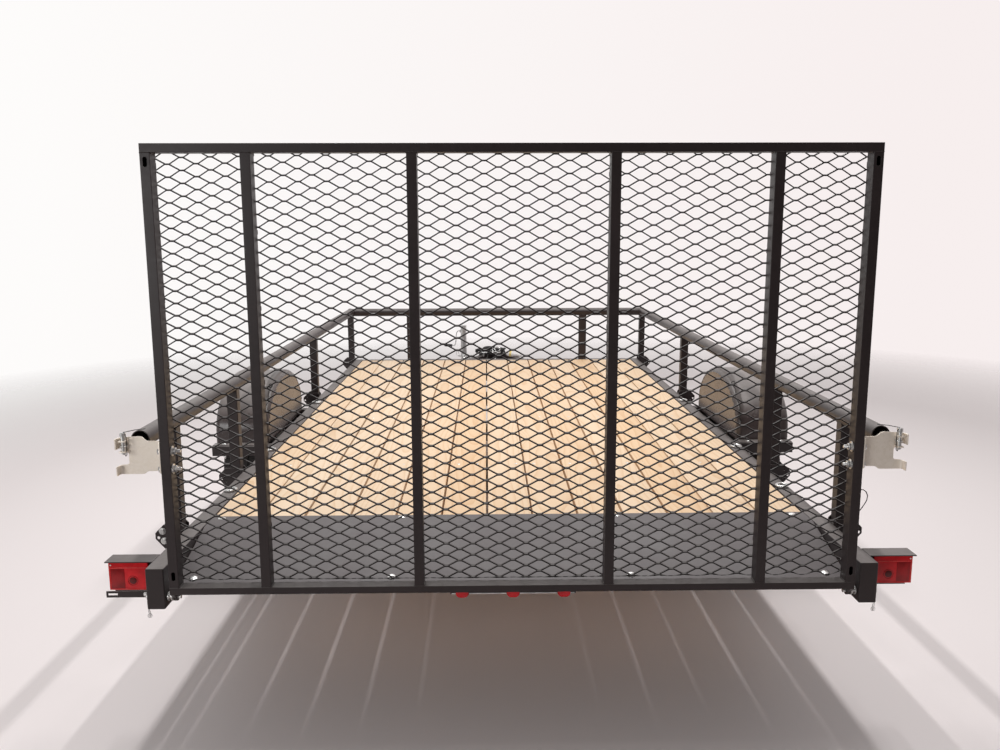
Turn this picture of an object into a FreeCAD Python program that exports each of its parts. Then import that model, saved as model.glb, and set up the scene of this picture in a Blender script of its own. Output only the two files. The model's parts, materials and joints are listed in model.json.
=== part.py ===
"""Single-axle utility trailer with a wood deck, pipe rails and an upright mesh ramp gate.

Millimetres. +X is the right side seen from behind, +Y points forwards to the hitch and +Z points up.
The model is drawn with Y = 0 at the rear ends of the deck boards and Z = 0 on the floor. At the end
everything is moved along Y so that the origin lies on the floor, under the middle of the whole trailer.
"""
import FreeCAD
import Part
import math
import os

V = FreeCAD.Vector

# ------------------------------------------------------------------ driving dimensions
DECK_OVER_AXLE = 195.0     # top of the boards above the middle of the axle
BOARD_COUNT = 13
BOARD_WIDTH = 139.0
BOARD_GAP = 2.8
BOARD_THICK = 38.0
BOARD_LENGTH = 3270.0
BOARD_SIDE_GAP = 3.0       # outer board to side member
END_GAP = 1.0              # board ends to steel

MEMBER_WIDTH = 48.0        # side and front members, rectangular tube
MEMBER_HEIGHT = 112.0
MEMBER_WALL = 3.0
DRAIN_RADIUS = 9.0
TAIL_LENGTH = 425.0        # side members run this far behind the boards
CROSS_WIDTH = 50.0         # crossmembers under the boards, angle iron
CROSS_WALL = 6.0
CROSS_FIRST_Y = 570.0
CROSS_LAST_GAP = 195.0     # last crossmember to the front ends of the boards
CROSS_COUNT = 4

PLATE_THICK = 4.0          # tail plate
PLATE_LIP = 90.0           # flat part behind the boards
PLATE_SHORT = 40.0         # rear edge ahead of the members' ends
PLATE_DROP = 74.0          # fall of the sloped part
PLATE_SIDE_GAP = 2.0
SILL_DEPTH = 46.0          # tube that carries the board ends and the plate's lip
LEDGE_DEPTH = 45.0
REAR_BEAM_DEPTH = 50.0
REAR_BEAM_HEIGHT = 38.0
REAR_BEAM_SHORT = 80.0     # rear face of the rear beam ahead of the members' ends

TONGUE_HEIGHT = 76.0       # tongue beams, rectangular tube
TONGUE_WIDTH = 51.0
TONGUE_WALL = 4.0
TONGUE_ANGLE = 25.0        # each beam from the centre line
TONGUE_APEX = 1190.0       # beam centre lines meet this far ahead of the frame
TONGUE_FRONT_GAP = 70.0    # beam ends stop this far behind the apex
TONGUE_REAR_INSET = 28.3   # beam centre lines end this far inside the side members

BALL_RADIUS = 25.4         # 2 inch hitch ball
SOCKET_CLEARANCE = 0.8
SOCKET_WALL = 5.0
SOCKET_AHEAD = 60.0        # ball centre ahead of the apex
COUPLER_WALL = 5.0
COUPLER_REAR = 210.0       # coupler reaches this far behind the apex
COUPLER_FIT = 0.5          # between the shell and the beams
LEVER_WIDTH = 18.0

RAIL_RADIUS = 25.4
RAIL_WALL = 2.5
RAIL_OVER_FENDER = 49.6    # underside of the rail above the crown of the fender
RAIL_SHORT = 95.0          # rail ends ahead of the members' ends
POST_SIZE = 38.0
POST_WALL = 2.5
POST_STANDOFF = 6.0        # bracket web between side member and post
POST_DROP = 95.0           # posts reach this far below the deck
SIDE_POST_Y = (-101.0, 519.0, 2010.0)   # a fourth pair stands at the front member
FRONT_POST_X = 588.0
FRONT_POST_WIDTH = 50.0
BRACKET_THICK = 4.0
BRACKET_WIDTH = 86.0       # bracket plate outboard of the side member
BRACKET_RISE = 16.0        # above the deck
BRACKET_DROP = 85.0
BRACKET_HOLE = 4.5

AXLE_Y = 1280.0
TYRE_RADIUS = 340.0        # also the height of the axle
TYRE_WIDTH = 198.0
TYRE_WALL = 12.0
TREAD_SHARE = 0.72         # flat tread, as a share of the width
BULGE_SHARE = 0.93         # width at the middle of the shoulder's arc
BULGE_HEIGHT_SHARE = 0.82  # height of that point and of the widest place, as shares of the tyre's section
BELLY_SHARE = 0.45
RIM_RADIUS = 190.5         # 15 inch bead seat
RIM_WALL = 4.0
RIM_FLANGE = 10.0
RIM_WIDTH = 140.0
BEAD_GAP = 0.3             # tyre to rim
DISC_SHEET = 5.0
DISC_OFFSET = 6.0          # mounting face of the disc outboard of the wheel's middle
HUB_RADIUS = 33.0
HUB_LENGTH = 120.0
HUB_FLANGE_RADIUS = 75.0
HUB_FLANGE_THICK = 12.0
STUD_COUNT = 5
STUD_CIRCLE_RADIUS = 57.15
STUD_CLEARANCE = 0.3
STUD_RADIUS = 6.35
STUD_LENGTH = 30.0         # out of the flange
SPINDLE_RADIUS = 17.5
SPINDLE_LENGTH = 103.0
SPINDLE_CLEARANCE = 0.05
AXLE_TUBE_RADIUS = 30.0
HAND_HOLE_COUNT = 8
HAND_HOLE_RADIUS = 17.0

LEAF_THICK = 7.0
LEAF_GAP = 0.3
LEAF_LENGTHS = (650.0, 480.0, 300.0)
SPRING_CAMBER = 78.0
EYE_RADIUS = 14.0
HANGER_THICK = 5.0
HANGER_GAP = 0.8
HANGER_LENGTH = 56.0
SPRING_BOLT_RADIUS = 7.0
CLAMP_THICK = 8.0
U_BOLT_RADIUS = 6.0

FENDER_STANDOFF = 12.7     # inner wall outboard of the side member
FENDER_SHEET = 2.5
TYRE_SIDE_GAP = 7.5        # fender's inner wall to the tyre
FENDER_OVERHANG = 13.0     # fender outboard of the tyre
FENDER_MARGIN = 2.0        # half the arch is longer than the tyre's radius by this
FENDER_CROWN_GAP = 107.0   # tyre's tread to the top of the arch
FENDER_UPRIGHT = 110.0     # straight ends above the deck before the arch begins
FENDER_LIP = 32.0
FENDER_FOOT = 40.0
OUTRIGGER_HEIGHT = 42.0
OUTRIGGER_WIDTH = 50.0
OUTRIGGER_WALL = 5.0

GATE_SIDE_GAP = 18.3       # gate's side to the inner face of the side member
GATE_BAR = 25.0            # uprights, seen from behind
GATE_DEPTH = 38.0          # every bar, front to rear
GATE_TOP_BAR = 22.0
GATE_BOTTOM_BAR = 19.0
GATE_WALL = 2.0
GATE_BEHIND = 13.0         # rear face of the gate behind the members' ends
GATE_BOTTOM = -67.5        # below the deck
GATE_TOP = 1085.0
GATE_INNER_UPRIGHTS = (250.0, 652.0)
SLOT_HALF = 5.0            # oblong slots in the outermost uprights
SLOT_LENGTH = 24.0
SLOT_FROM_BOTTOM = 32.0
SLOT_FROM_TOP = 22.0
MESH_LONG = 70.3           # diamond, long way
MESH_SHORT = 30.8
MESH_STRAND = 3.2
MESH_BOND = 10.24          # between neighbouring openings in one row
MESH_THICK = 3.0
MESH_SPLIT = 0.5           # each side of the line where two bays meet
HINGE_DROP = 16.5          # pivot below the gate's bottom
HINGE_AHEAD = 33.0         # pivot ahead of the gate's rear face
HINGE_PIN_RADIUS = 6.0
HINGE_PIN_HEAD = 9.6
HINGE_PIN_PROUD = 8.0      # pin end inside the lug
HINGE_CLEARANCE = 0.06
HINGE_LUG = 10.0           # lug thickness along the pin
HINGE_LUG_RADIUS = 12.0
HINGE_LUG_INSET = 10.0     # inner face of the lug inside the gate's side

LATCH_BELOW = 43.1         # latch plate below and above the middle of its notch
LATCH_ABOVE = 58.9
LATCH_REACH = 39.7         # outboard of the rail's middle
LATCH_THICK = 4.0
LATCH_DEPTH = 25.0         # trailer side of the latch plate ahead of the gate's rear face
LATCH_NOTCH_START = 0.7    # outboard of the rail's middle
LATCH_NOTCH_HALF = 14.0
LATCH_EAR_HALF = 11.0
LATCH_PIN_OUT = 18.2       # outboard of the rail's middle
LATCH_PIN_RADIUS = 6.0
LATCH_PIN_HEAD = 9.0
LATCH_PIN_RISE = 34.0      # above the upper ear
LATCH_PIN_COLLAR = 5.0
STRAP_THICK = 5.0
STRAP_WIDTH = 25.0
STRAP_BEHIND = 12.0        # end of the strap behind the members' ends
STRAP_GAP = 1.0            # each side of the pin

LAMP_SIDE_GAP = 17.0       # side member to lamp
LAMP_WIDTH = 106.0
LAMP_HEIGHT = 80.0
LAMP_DEPTH = 44.0
LAMP_CENTRE = -43.5        # below the deck
LAMP_SHORT = 62.0          # lens face ahead of the members' ends
LENS_DEPTH = 14.0
GUARD_SHEET = 3.0
HOOD_LAP = 9.0             # hood behind the lens
PLATE_ARM_LENGTH = 134.0
PLATE_ARM_HEIGHT = 18.0
PLATE_ARM_DROP = 4.0       # below the lamp
PLATE_SLOT_START = 5.0     # from the arm's outer end
PLATE_SLOT_END = 31.0
MARKER_PITCH = 140.0
MARKER_RADIUS = 14.0
MARKER_HALF = 5.0          # half the straight part of each lens
MARKER_DEPTH = 10.0
MARKER_STRIP_BELOW = 5.0   # strip's edges from the middle of the lenses
MARKER_STRIP_ABOVE = 20.0
TIE_DOWN_Y = (267.0, 819.0, 1790.0)
TIE_RING_RADIUS = 19.0
TIE_WIRE_RADIUS = 4.0

JACK_FROM_APEX = 345.0
JACK_TUBE_RADIUS = 22.5
JACK_LEG_RADIUS = 18.8
JACK_TUBE_WALL = 3.0
JACK_ABOVE = 283.0         # tube's top above the swivel, and its end below it
JACK_BELOW = 135.0
JACK_LEG_LAP = 190.0       # leg inside the tube
JACK_FOOT_RADIUS = 60.0
JACK_FOOT_THICK = 6.0
SWIVEL_RADIUS = 30.0
SWIVEL_LENGTH = 52.0
SWIVEL_CLEARANCE = 0.3
CRANK_DROP = 36.0          # crank below the tube's top
CRANK_ARM = 115.0
CRANK_SHAFT = 62.0
CRANK_GRIP = 74.0
CRANK_RADIUS = 6.0
CRANK_BEND = 14.0

# ------------------------------------------------------------------ derived places
AXLE_Z = TYRE_RADIUS
FENDER_HALF = TYRE_RADIUS + FENDER_MARGIN
FENDER_TOP = AXLE_Z + TYRE_RADIUS + FENDER_CROWN_GAP
DECK_Z = AXLE_Z + DECK_OVER_AXLE
INNER_X = (BOARD_COUNT * BOARD_WIDTH + (BOARD_COUNT - 1) * BOARD_GAP) / 2 + BOARD_SIDE_GAP
OUTER_X = INNER_X + MEMBER_WIDTH
MEMBER_BOTTOM = DECK_Z - MEMBER_HEIGHT
FRAME_FRONT = BOARD_LENGTH + END_GAP + MEMBER_WIDTH
FRAME_REAR = -TAIL_LENGTH
BOARD_BOTTOM = DECK_Z - BOARD_THICK
CROSS_PITCH = (BOARD_LENGTH - CROSS_LAST_GAP - CROSS_FIRST_Y) / (CROSS_COUNT - 1)
PLATE_BACK = FRAME_REAR + PLATE_SHORT
REAR_BEAM_BACK = FRAME_REAR + REAR_BEAM_SHORT
RAIL_X = OUTER_X + POST_STANDOFF + POST_SIZE / 2
RAIL_Z = FENDER_TOP + RAIL_OVER_FENDER + RAIL_RADIUS
RAIL_REAR_Y = FRAME_REAR + RAIL_SHORT
RAIL_FRONT_Y = FRAME_FRONT - MEMBER_WIDTH / 2
ALL_POST_Y = SIDE_POST_Y + (RAIL_FRONT_Y,)
GATE_HALF = INNER_X - GATE_SIDE_GAP
GATE_BACK = FRAME_REAR - GATE_BEHIND
GATE_FRONT = GATE_BACK + GATE_DEPTH
LATCH_FRONT = GATE_BACK + LATCH_DEPTH
GATE_LOW = DECK_Z + GATE_BOTTOM
GATE_HIGH = DECK_Z + GATE_TOP
HINGE_Y = GATE_BACK + HINGE_AHEAD
HINGE_Z = GATE_LOW - HINGE_DROP
HINGE_LUG_X = GATE_HALF - HINGE_LUG_INSET
APEX_Y = FRAME_FRONT + TONGUE_APEX
TONGUE_TOP = MEMBER_BOTTOM
TONGUE_BOTTOM = TONGUE_TOP - TONGUE_HEIGHT
TONGUE_REAR_X = INNER_X - TONGUE_REAR_INSET
BALL_Y = APEX_Y + SOCKET_AHEAD
SOCKET_OUTER = BALL_RADIUS + SOCKET_CLEARANCE + SOCKET_WALL
BALL_Z = TONGUE_TOP + COUPLER_WALL - SOCKET_OUTER
FENDER_INNER_X = OUTER_X + FENDER_STANDOFF
TYRE_INNER_X = FENDER_INNER_X + FENDER_SHEET + TYRE_SIDE_GAP
WHEEL_X = TYRE_INNER_X + TYRE_WIDTH / 2
FENDER_OUTER_X = TYRE_INNER_X + TYRE_WIDTH + FENDER_OVERHANG
SPRING_X = (INNER_X + OUTER_X) / 2
SPRING_WIDTH = MEMBER_WIDTH - 2 * (HANGER_THICK + HANGER_GAP)
TRAILER_FRONT = BALL_Y + SOCKET_OUTER
ORIGIN_Y = (TRAILER_FRONT + GATE_BACK) / 2

SIDES = ((-1, "left"), (1, "right"))


# ------------------------------------------------------------------ shape helpers
def box(x0, x1, y0, y1, z0, z1):
    """Block between two corners, whichever way round each pair is given."""
    low = V(min(x0, x1), min(y0, y1), min(z0, z1))
    return Part.makeBox(abs(x1 - x0), abs(y1 - y0), abs(z1 - z0), low)


def rod(radius, start, end):
    """Round bar between two points."""
    axis = end - start
    return Part.makeCylinder(radius, axis.Length, start, axis)


def pipe(radius, wall, start, end):
    return rod(radius, start, end).cut(rod(radius - wall, start, end))


def sheet(points, depth):
    """Flat outline pushed along a vector."""
    wire = Part.makePolygon(list(points) + [points[0]])
    return Part.Face(wire).extrude(depth)


def fuse(shapes):
    return shapes[0].multiFuse(list(shapes[1:])).removeSplitter()


def group(shapes):
    """Separate solids that share a node."""
    return Part.makeCompound(list(shapes))


def mirrored(shape, side):
    """A shape drawn on the right, on the side asked for."""
    return shape if side > 0 else shape.mirror(V(0, 0, 0), V(1, 0, 0))


def both(shape):
    return group([mirrored(shape, side) for side, _ in SIDES])


# ------------------------------------------------------------------ frame and deck
def side_member():
    """Closed rectangular tube, with a drain hole in its floor near each end."""
    outer = box(INNER_X, OUTER_X, FRAME_REAR, FRAME_FRONT, MEMBER_BOTTOM, DECK_Z)
    inner = box(INNER_X + MEMBER_WALL, OUTER_X - MEMBER_WALL, FRAME_REAR + MEMBER_WALL,
                FRAME_FRONT - MEMBER_WALL, MEMBER_BOTTOM + MEMBER_WALL, DECK_Z - MEMBER_WALL)
    cuts = [inner]
    for y in (FRAME_REAR + MEMBER_HEIGHT, FRAME_FRONT - MEMBER_HEIGHT):
        middle = (INNER_X + OUTER_X) / 2
        cuts.append(rod(DRAIN_RADIUS, V(middle, y, MEMBER_BOTTOM - 1),
                        V(middle, y, MEMBER_BOTTOM + MEMBER_WALL + 1)))
    pin_hole = HINGE_PIN_RADIUS + HINGE_CLEARANCE
    cuts.append(rod(pin_hole, V(INNER_X - 1, HINGE_Y, HINGE_Z), V(OUTER_X + 1, HINGE_Y, HINGE_Z)))
    return outer.cut(cuts)


def cross_tube(y0, y1, top):
    """Rectangular tube between the side members, from their undersides up to a given height."""
    outer = box(-INNER_X, INNER_X, y0, y1, MEMBER_BOTTOM, top)
    inner = box(-INNER_X - 1, INNER_X + 1, y0 + MEMBER_WALL, y1 - MEMBER_WALL,
                MEMBER_BOTTOM + MEMBER_WALL, top - MEMBER_WALL)
    return outer.cut(inner)


def front_member():
    """Front tube with a ledge that carries the board ends."""
    back = FRAME_FRONT - MEMBER_WIDTH
    ledge = box(-INNER_X, INNER_X, back - LEDGE_DEPTH, back, BOARD_BOTTOM - CROSS_WALL, BOARD_BOTTOM)
    return fuse([cross_tube(back, FRAME_FRONT, DECK_Z), ledge])


def rear_sill():
    """Tube under the tail plate's lip, with a ledge for the rear ends of the boards."""
    front = -END_GAP
    ledge = box(-INNER_X, INNER_X, front, front + LEDGE_DEPTH, BOARD_BOTTOM - CROSS_WALL, BOARD_BOTTOM)
    return fuse([cross_tube(front - SILL_DEPTH, front, DECK_Z - PLATE_THICK), ledge])


def angle_iron(y, top):
    """Crossmember with its flat leg up, between the side members."""
    outline = [V(-INNER_X, y, top), V(-INNER_X, y + CROSS_WIDTH, top),
               V(-INNER_X, y + CROSS_WIDTH, top - CROSS_WALL), V(-INNER_X, y + CROSS_WALL, top - CROSS_WALL),
               V(-INNER_X, y + CROSS_WALL, MEMBER_BOTTOM), V(-INNER_X, y, MEMBER_BOTTOM)]
    return sheet(outline, V(2 * INNER_X, 0, 0))


def deck_boards():
    first = -INNER_X + BOARD_SIDE_GAP
    starts = [first + i * (BOARD_WIDTH + BOARD_GAP) for i in range(BOARD_COUNT)]
    return group(box(x, x + BOARD_WIDTH, 0, BOARD_LENGTH, BOARD_BOTTOM, DECK_Z) for x in starts)


def plate_surface(y):
    """Height of the tail plate's top where it slopes."""
    return DECK_Z - PLATE_DROP * (-PLATE_LIP - y) / (-PLATE_LIP - PLATE_BACK)


def tail_plate():
    """One bent sheet: a flat lip behind the boards, then a slope down to the rear."""
    half = INNER_X - PLATE_SIDE_GAP
    rear = PLATE_BACK
    outline = [V(-half, -END_GAP, DECK_Z), V(-half, -PLATE_LIP, DECK_Z), V(-half, rear, plate_surface(rear)),
               V(-half, rear, plate_surface(rear) - PLATE_THICK), V(-half, -PLATE_LIP, DECK_Z - PLATE_THICK),
               V(-half, -END_GAP, DECK_Z - PLATE_THICK)]
    return sheet(outline, V(2 * half, 0, 0))


def rear_beam():
    """Hollow beam under the rear of the tail plate, with its top cut to the plate's slope."""
    back = REAR_BEAM_BACK
    front = back + REAR_BEAM_DEPTH

    def section(inset, x):
        y0, y1 = back + inset, front - inset
        bottom = plate_surface(back) - PLATE_THICK - REAR_BEAM_HEIGHT + inset
        top = [plate_surface(y) - PLATE_THICK - inset for y in (y0, y1)]
        return [V(x, y0, bottom), V(x, y1, bottom), V(x, y1, top[1]), V(x, y0, top[0])]

    outer = sheet(section(0, -INNER_X), V(2 * INNER_X, 0, 0))
    return outer.cut(sheet(section(MEMBER_WALL, -INNER_X - 1), V(2 * INNER_X + 2, 0, 0)))


# ------------------------------------------------------------------ tongue, coupler and jack
def tongue_point(along, out=0.0):
    """Plan point on the right tongue beam: distance behind the apex along Y, and outwards from its middle."""
    angle = math.radians(TONGUE_ANGLE)
    return (along * math.tan(angle) + out * math.cos(angle), APEX_Y - along + out * math.sin(angle))


def tongue_beam():
    """Rectangular tube from under the side member to the coupler."""
    start = TONGUE_REAR_X / math.tan(math.radians(TONGUE_ANGLE))

    def bar(half, low, high):
        corners = [tongue_point(start, -half), tongue_point(start, half), tongue_point(0, half),
                   tongue_point(0, -half)]
        return sheet([V(x, y, low) for x, y in corners], V(0, 0, high - low))

    outer = bar(TONGUE_WIDTH / 2, TONGUE_BOTTOM, TONGUE_TOP)
    inner = bar(TONGUE_WIDTH / 2 - TONGUE_WALL, TONGUE_BOTTOM + TONGUE_WALL, TONGUE_TOP - TONGUE_WALL)
    front = box(-TONGUE_WIDTH * 2, TONGUE_WIDTH * 2, APEX_Y - TONGUE_FRONT_GAP, APEX_Y + TONGUE_WIDTH,
                TONGUE_BOTTOM - 1, TONGUE_TOP + 1)
    return outer.cut([inner, front])


def coupler():
    """Pressed shell over the front of both beams, with a ball socket at its nose."""
    lean = math.radians(TONGUE_ANGLE)
    seat = TONGUE_WIDTH / 2 / math.cos(lean) + COUPLER_FIT

    def shell(inset, low, high):
        rear = APEX_Y - COUPLER_REAR
        knee = APEX_Y - TONGUE_FRONT_GAP / 2
        wide = (COUPLER_REAR + inset) * math.tan(lean) + seat + COUPLER_WALL - inset
        middle = TONGUE_FRONT_GAP / 2 * math.tan(lean) + seat + COUPLER_WALL - inset
        nose = SOCKET_OUTER - inset
        half = [(wide, rear - inset), (middle, knee), (nose, BALL_Y - inset)]
        points = [V(x, y, low) for x, y in half] + [V(-x, y, low) for x, y in reversed(half)]
        return sheet(points, V(0, 0, high - low))

    top = TONGUE_TOP + COUPLER_WALL
    skirt = TONGUE_TOP - TONGUE_HEIGHT / 2
    body = shell(0, skirt, top).cut(shell(COUPLER_WALL, skirt - 1, TONGUE_TOP))
    boss = rod(SOCKET_OUTER, V(0, BALL_Y, BALL_Z - BALL_RADIUS), V(0, BALL_Y, top))
    cavity = BALL_RADIUS + SOCKET_CLEARANCE
    crown, foot = V(0, BALL_Y, BALL_Z + cavity), V(0, BALL_Y, BALL_Z - 3 * BALL_RADIUS)
    brink = V(cavity, BALL_Y, BALL_Z)
    reach = cavity * math.sqrt(0.5)
    dome = Part.Arc(crown, V(reach, BALL_Y, BALL_Z + reach), brink).toShape()
    corner = V(cavity, BALL_Y, foot.z)
    edges = [dome, Part.makeLine(brink, corner), Part.makeLine(corner, foot), Part.makeLine(foot, crown)]
    socket = Part.Face(Part.Wire(edges)).revolve(V(0, BALL_Y, 0), V(0, 0, 1), 360)
    return fuse([body, boss]).cut(socket)


# Side view of the lever: distance back from its front end, height above the coupler.
LEVER_OUTLINE = ((0, 0), (0, 12), (35, 18), (105, 44), (135, 44), (135, 36), (100, 36), (45, 0))


def coupler_latch():
    """Lever that locks the coupler: a flat foot, a rising arm and a thumb pad."""
    base = TONGUE_TOP + COUPLER_WALL
    front = BALL_Y - SOCKET_OUTER / 2
    outline = [V(-LEVER_WIDTH / 2, front - back, base + rise) for back, rise in LEVER_OUTLINE]
    return sheet(outline, V(LEVER_WIDTH, 0, 0))


def jack_axis():
    """Plan place of the jack and the outward direction of its swivel, on the left beam."""
    reach = TONGUE_WIDTH / 2 + SWIVEL_LENGTH + JACK_TUBE_RADIUS
    x, y = tongue_point(JACK_FROM_APEX, reach)
    angle = math.radians(TONGUE_ANGLE)
    return V(-x, y, 0), V(-math.cos(angle), math.sin(angle), 0)


SWIVEL_Z = (TONGUE_TOP + TONGUE_BOTTOM) / 2
JACK_PLACE, SWIVEL_OUT = jack_axis()
SWIVEL_SPLIT = JACK_TUBE_RADIUS + SWIVEL_LENGTH / 2
JACK_TOP = SWIVEL_Z + JACK_ABOVE
JACK_BOTTOM = SWIVEL_Z - JACK_BELOW
CRANK_Z = JACK_TOP - CRANK_DROP


def at_jack(z, outwards=0.0):
    return V(JACK_PLACE.x, JACK_PLACE.y, z) + SWIVEL_OUT * outwards


def jack_mount():
    """Pipe stub welded to the outer face of the left beam."""
    return rod(SWIVEL_RADIUS, at_jack(SWIVEL_Z, -JACK_TUBE_RADIUS - SWIVEL_LENGTH),
               at_jack(SWIVEL_Z, -SWIVEL_SPLIT))


def jack_tube():
    """Outer tube with a cap and its half of the swivel."""
    outer = rod(JACK_TUBE_RADIUS, at_jack(JACK_BOTTOM), at_jack(JACK_TOP))
    sleeve = rod(SWIVEL_RADIUS, at_jack(SWIVEL_Z, -SWIVEL_SPLIT + SWIVEL_CLEARANCE), at_jack(SWIVEL_Z))
    bore = rod(JACK_TUBE_RADIUS - JACK_TUBE_WALL, at_jack(JACK_BOTTOM - 1),
               at_jack(JACK_TOP - JACK_TUBE_WALL))
    return fuse([outer, sleeve]).cut(bore)


def jack_leg():
    """Inner tube with a round foot."""
    foot = rod(JACK_FOOT_RADIUS, at_jack(0), at_jack(JACK_FOOT_THICK))
    top = JACK_BOTTOM + JACK_LEG_LAP
    leg = rod(JACK_LEG_RADIUS, at_jack(JACK_FOOT_THICK), at_jack(top))
    bore = rod(JACK_LEG_RADIUS - JACK_TUBE_WALL, at_jack(JACK_FOOT_THICK + 1), at_jack(top + 1))
    return fuse([foot, leg]).cut(bore)


def jack_crank():
    """Side crank: one bent bar that runs out, down and out again, and a grip on its end."""
    face = JACK_TUBE_RADIUS
    elbow = face + CRANK_SHAFT
    low = CRANK_Z - CRANK_ARM
    corner = CRANK_BEND * (1 - math.sqrt(0.5))
    points = [at_jack(CRANK_Z, face), at_jack(CRANK_Z, elbow - CRANK_BEND),
              at_jack(CRANK_Z - corner, elbow - corner), at_jack(CRANK_Z - CRANK_BEND, elbow),
              at_jack(low + CRANK_BEND, elbow), at_jack(low + corner, elbow + corner),
              at_jack(low, elbow + CRANK_BEND), at_jack(low, elbow + CRANK_GRIP)]
    edges = []
    for i in (0, 3, 6):
        edges.append(Part.makeLine(points[i], points[i + 1]))
        if i < 6:
            edges.append(Part.Arc(points[i + 1], points[i + 2], points[i + 3]).toShape())
    end = Part.Wire(Part.makeCircle(CRANK_RADIUS, points[0], SWIVEL_OUT))
    bar = Part.Wire(edges).makePipeShell([end], True, True)
    grip = rod(CRANK_RADIUS * 2, at_jack(low, elbow + CRANK_BEND + 2), at_jack(low, elbow + CRANK_GRIP + 4))
    return fuse([bar, grip])


# ------------------------------------------------------------------ rails and posts
def mitre(keep_front):
    """Prism that cuts a rail at the right front corner, on the far side of the 45 degree joint."""
    reach = 4 * RAIL_RADIUS
    x, y = RAIL_X, RAIL_FRONT_Y
    third = V(x + reach, y - reach, 0) if keep_front else V(x - reach, y + reach, 0)
    outline = [V(x - reach, y - reach, 0), V(x + reach, y + reach, 0), third]
    lifted = [point + V(0, 0, RAIL_Z - reach) for point in outline]
    return sheet(lifted, V(0, 0, 2 * reach))


def side_rail():
    start = V(RAIL_X, RAIL_REAR_Y, RAIL_Z)
    end = V(RAIL_X, RAIL_FRONT_Y + 2 * RAIL_RADIUS, RAIL_Z)
    return pipe(RAIL_RADIUS, RAIL_WALL, start, end).cut(mitre(False))


def front_rail():
    reach = RAIL_X + 2 * RAIL_RADIUS
    tube = pipe(RAIL_RADIUS, RAIL_WALL, V(-reach, RAIL_FRONT_Y, RAIL_Z), V(reach, RAIL_FRONT_Y, RAIL_Z))
    return tube.cut([mitre(True), mirrored(mitre(True), -1)])


def post(x, y, width, bottom):
    """Square tube from its foot up to the saddle cut for the rail."""
    outer = box(x - width / 2, x + width / 2, y - POST_SIZE / 2, y + POST_SIZE / 2, bottom, RAIL_Z)
    half = width / 2 - POST_WALL
    deep = POST_SIZE / 2 - POST_WALL
    return outer.cut(box(x - half, x + half, y - deep, y + deep, bottom - 1, RAIL_Z + 1))


def side_post(y):
    """Post outboard of the side member, cut to sit under the rails."""
    beside = rod(RAIL_RADIUS, V(RAIL_X, FRAME_REAR, RAIL_Z), V(RAIL_X, FRAME_FRONT + RAIL_RADIUS, RAIL_Z))
    ahead = rod(RAIL_RADIUS, V(0, RAIL_FRONT_Y, RAIL_Z), V(RAIL_X + 2 * RAIL_RADIUS, RAIL_FRONT_Y, RAIL_Z))
    return post(RAIL_X, y, POST_SIZE, DECK_Z - POST_DROP).cut([beside, ahead])


def front_posts():
    rail = rod(RAIL_RADIUS, V(-OUTER_X, RAIL_FRONT_Y, RAIL_Z), V(OUTER_X, RAIL_FRONT_Y, RAIL_Z))
    return both(post(FRONT_POST_X, RAIL_FRONT_Y, FRONT_POST_WIDTH, DECK_Z).cut(rail))


# Bracket outline and holes: x outboard of the side member, z from the deck.
BRACKET_OUTLINE = ((0, -BRACKET_DROP), (36, -BRACKET_DROP), (BRACKET_WIDTH, -27), (BRACKET_WIDTH, -9),
                   (BRACKET_WIDTH - 25, BRACKET_RISE), (7, BRACKET_RISE), (0, BRACKET_RISE - 7))
BRACKET_HOLES = ((12, 1), (64, -3), (77, -24), (60, -33))


def post_bracket(y):
    """Channel round the foot of a post: a web on the side member and a drilled plate on each face."""
    back = y - POST_SIZE / 2 - BRACKET_THICK
    front = y + POST_SIZE / 2 + BRACKET_THICK
    web = box(OUTER_X, OUTER_X + POST_STANDOFF, back, front, DECK_Z - BRACKET_DROP, DECK_Z)
    outline = [V(OUTER_X + x, back, DECK_Z + z) for x, z in BRACKET_OUTLINE]
    plates = [sheet(outline, V(0, BRACKET_THICK, 0))]
    plates.append(plates[0].translated(V(0, front - back - BRACKET_THICK, 0)))
    holes = [rod(BRACKET_HOLE, V(OUTER_X + x, back - 1, DECK_Z + z), V(OUTER_X + x, front + 1, DECK_Z + z))
             for x, z in BRACKET_HOLES]
    return fuse([web] + plates).cut(holes)


# ------------------------------------------------------------------ axle, springs and wheels
def along_x(radius, x0, x1, y=AXLE_Y, z=AXLE_Z):
    return rod(radius, V(x0, y, z), V(x1, y, z))


AXLE_TUBE_END = OUTER_X + 4
HUB_INNER_X = AXLE_TUBE_END + 7
SPINDLE_END_X = AXLE_TUBE_END + SPINDLE_LENGTH
DISC_X = WHEEL_X + DISC_OFFSET


def axle():
    tube = along_x(AXLE_TUBE_RADIUS, -AXLE_TUBE_END, AXLE_TUBE_END)
    spindles = [along_x(SPINDLE_RADIUS, side * AXLE_TUBE_END, side * SPINDLE_END_X) for side, _ in SIDES]
    return fuse([tube] + spindles)


SPRING_TOP = AXLE_Z - AXLE_TUBE_RADIUS - CLAMP_THICK
SPRING_CURVE = (LEAF_LENGTHS[0] ** 2 / 4 + SPRING_CAMBER ** 2) / (2 * SPRING_CAMBER)
EYE_Y = LEAF_LENGTHS[0] / 2
EYE_Z = SPRING_TOP + SPRING_CAMBER - LEAF_THICK / 2


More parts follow.
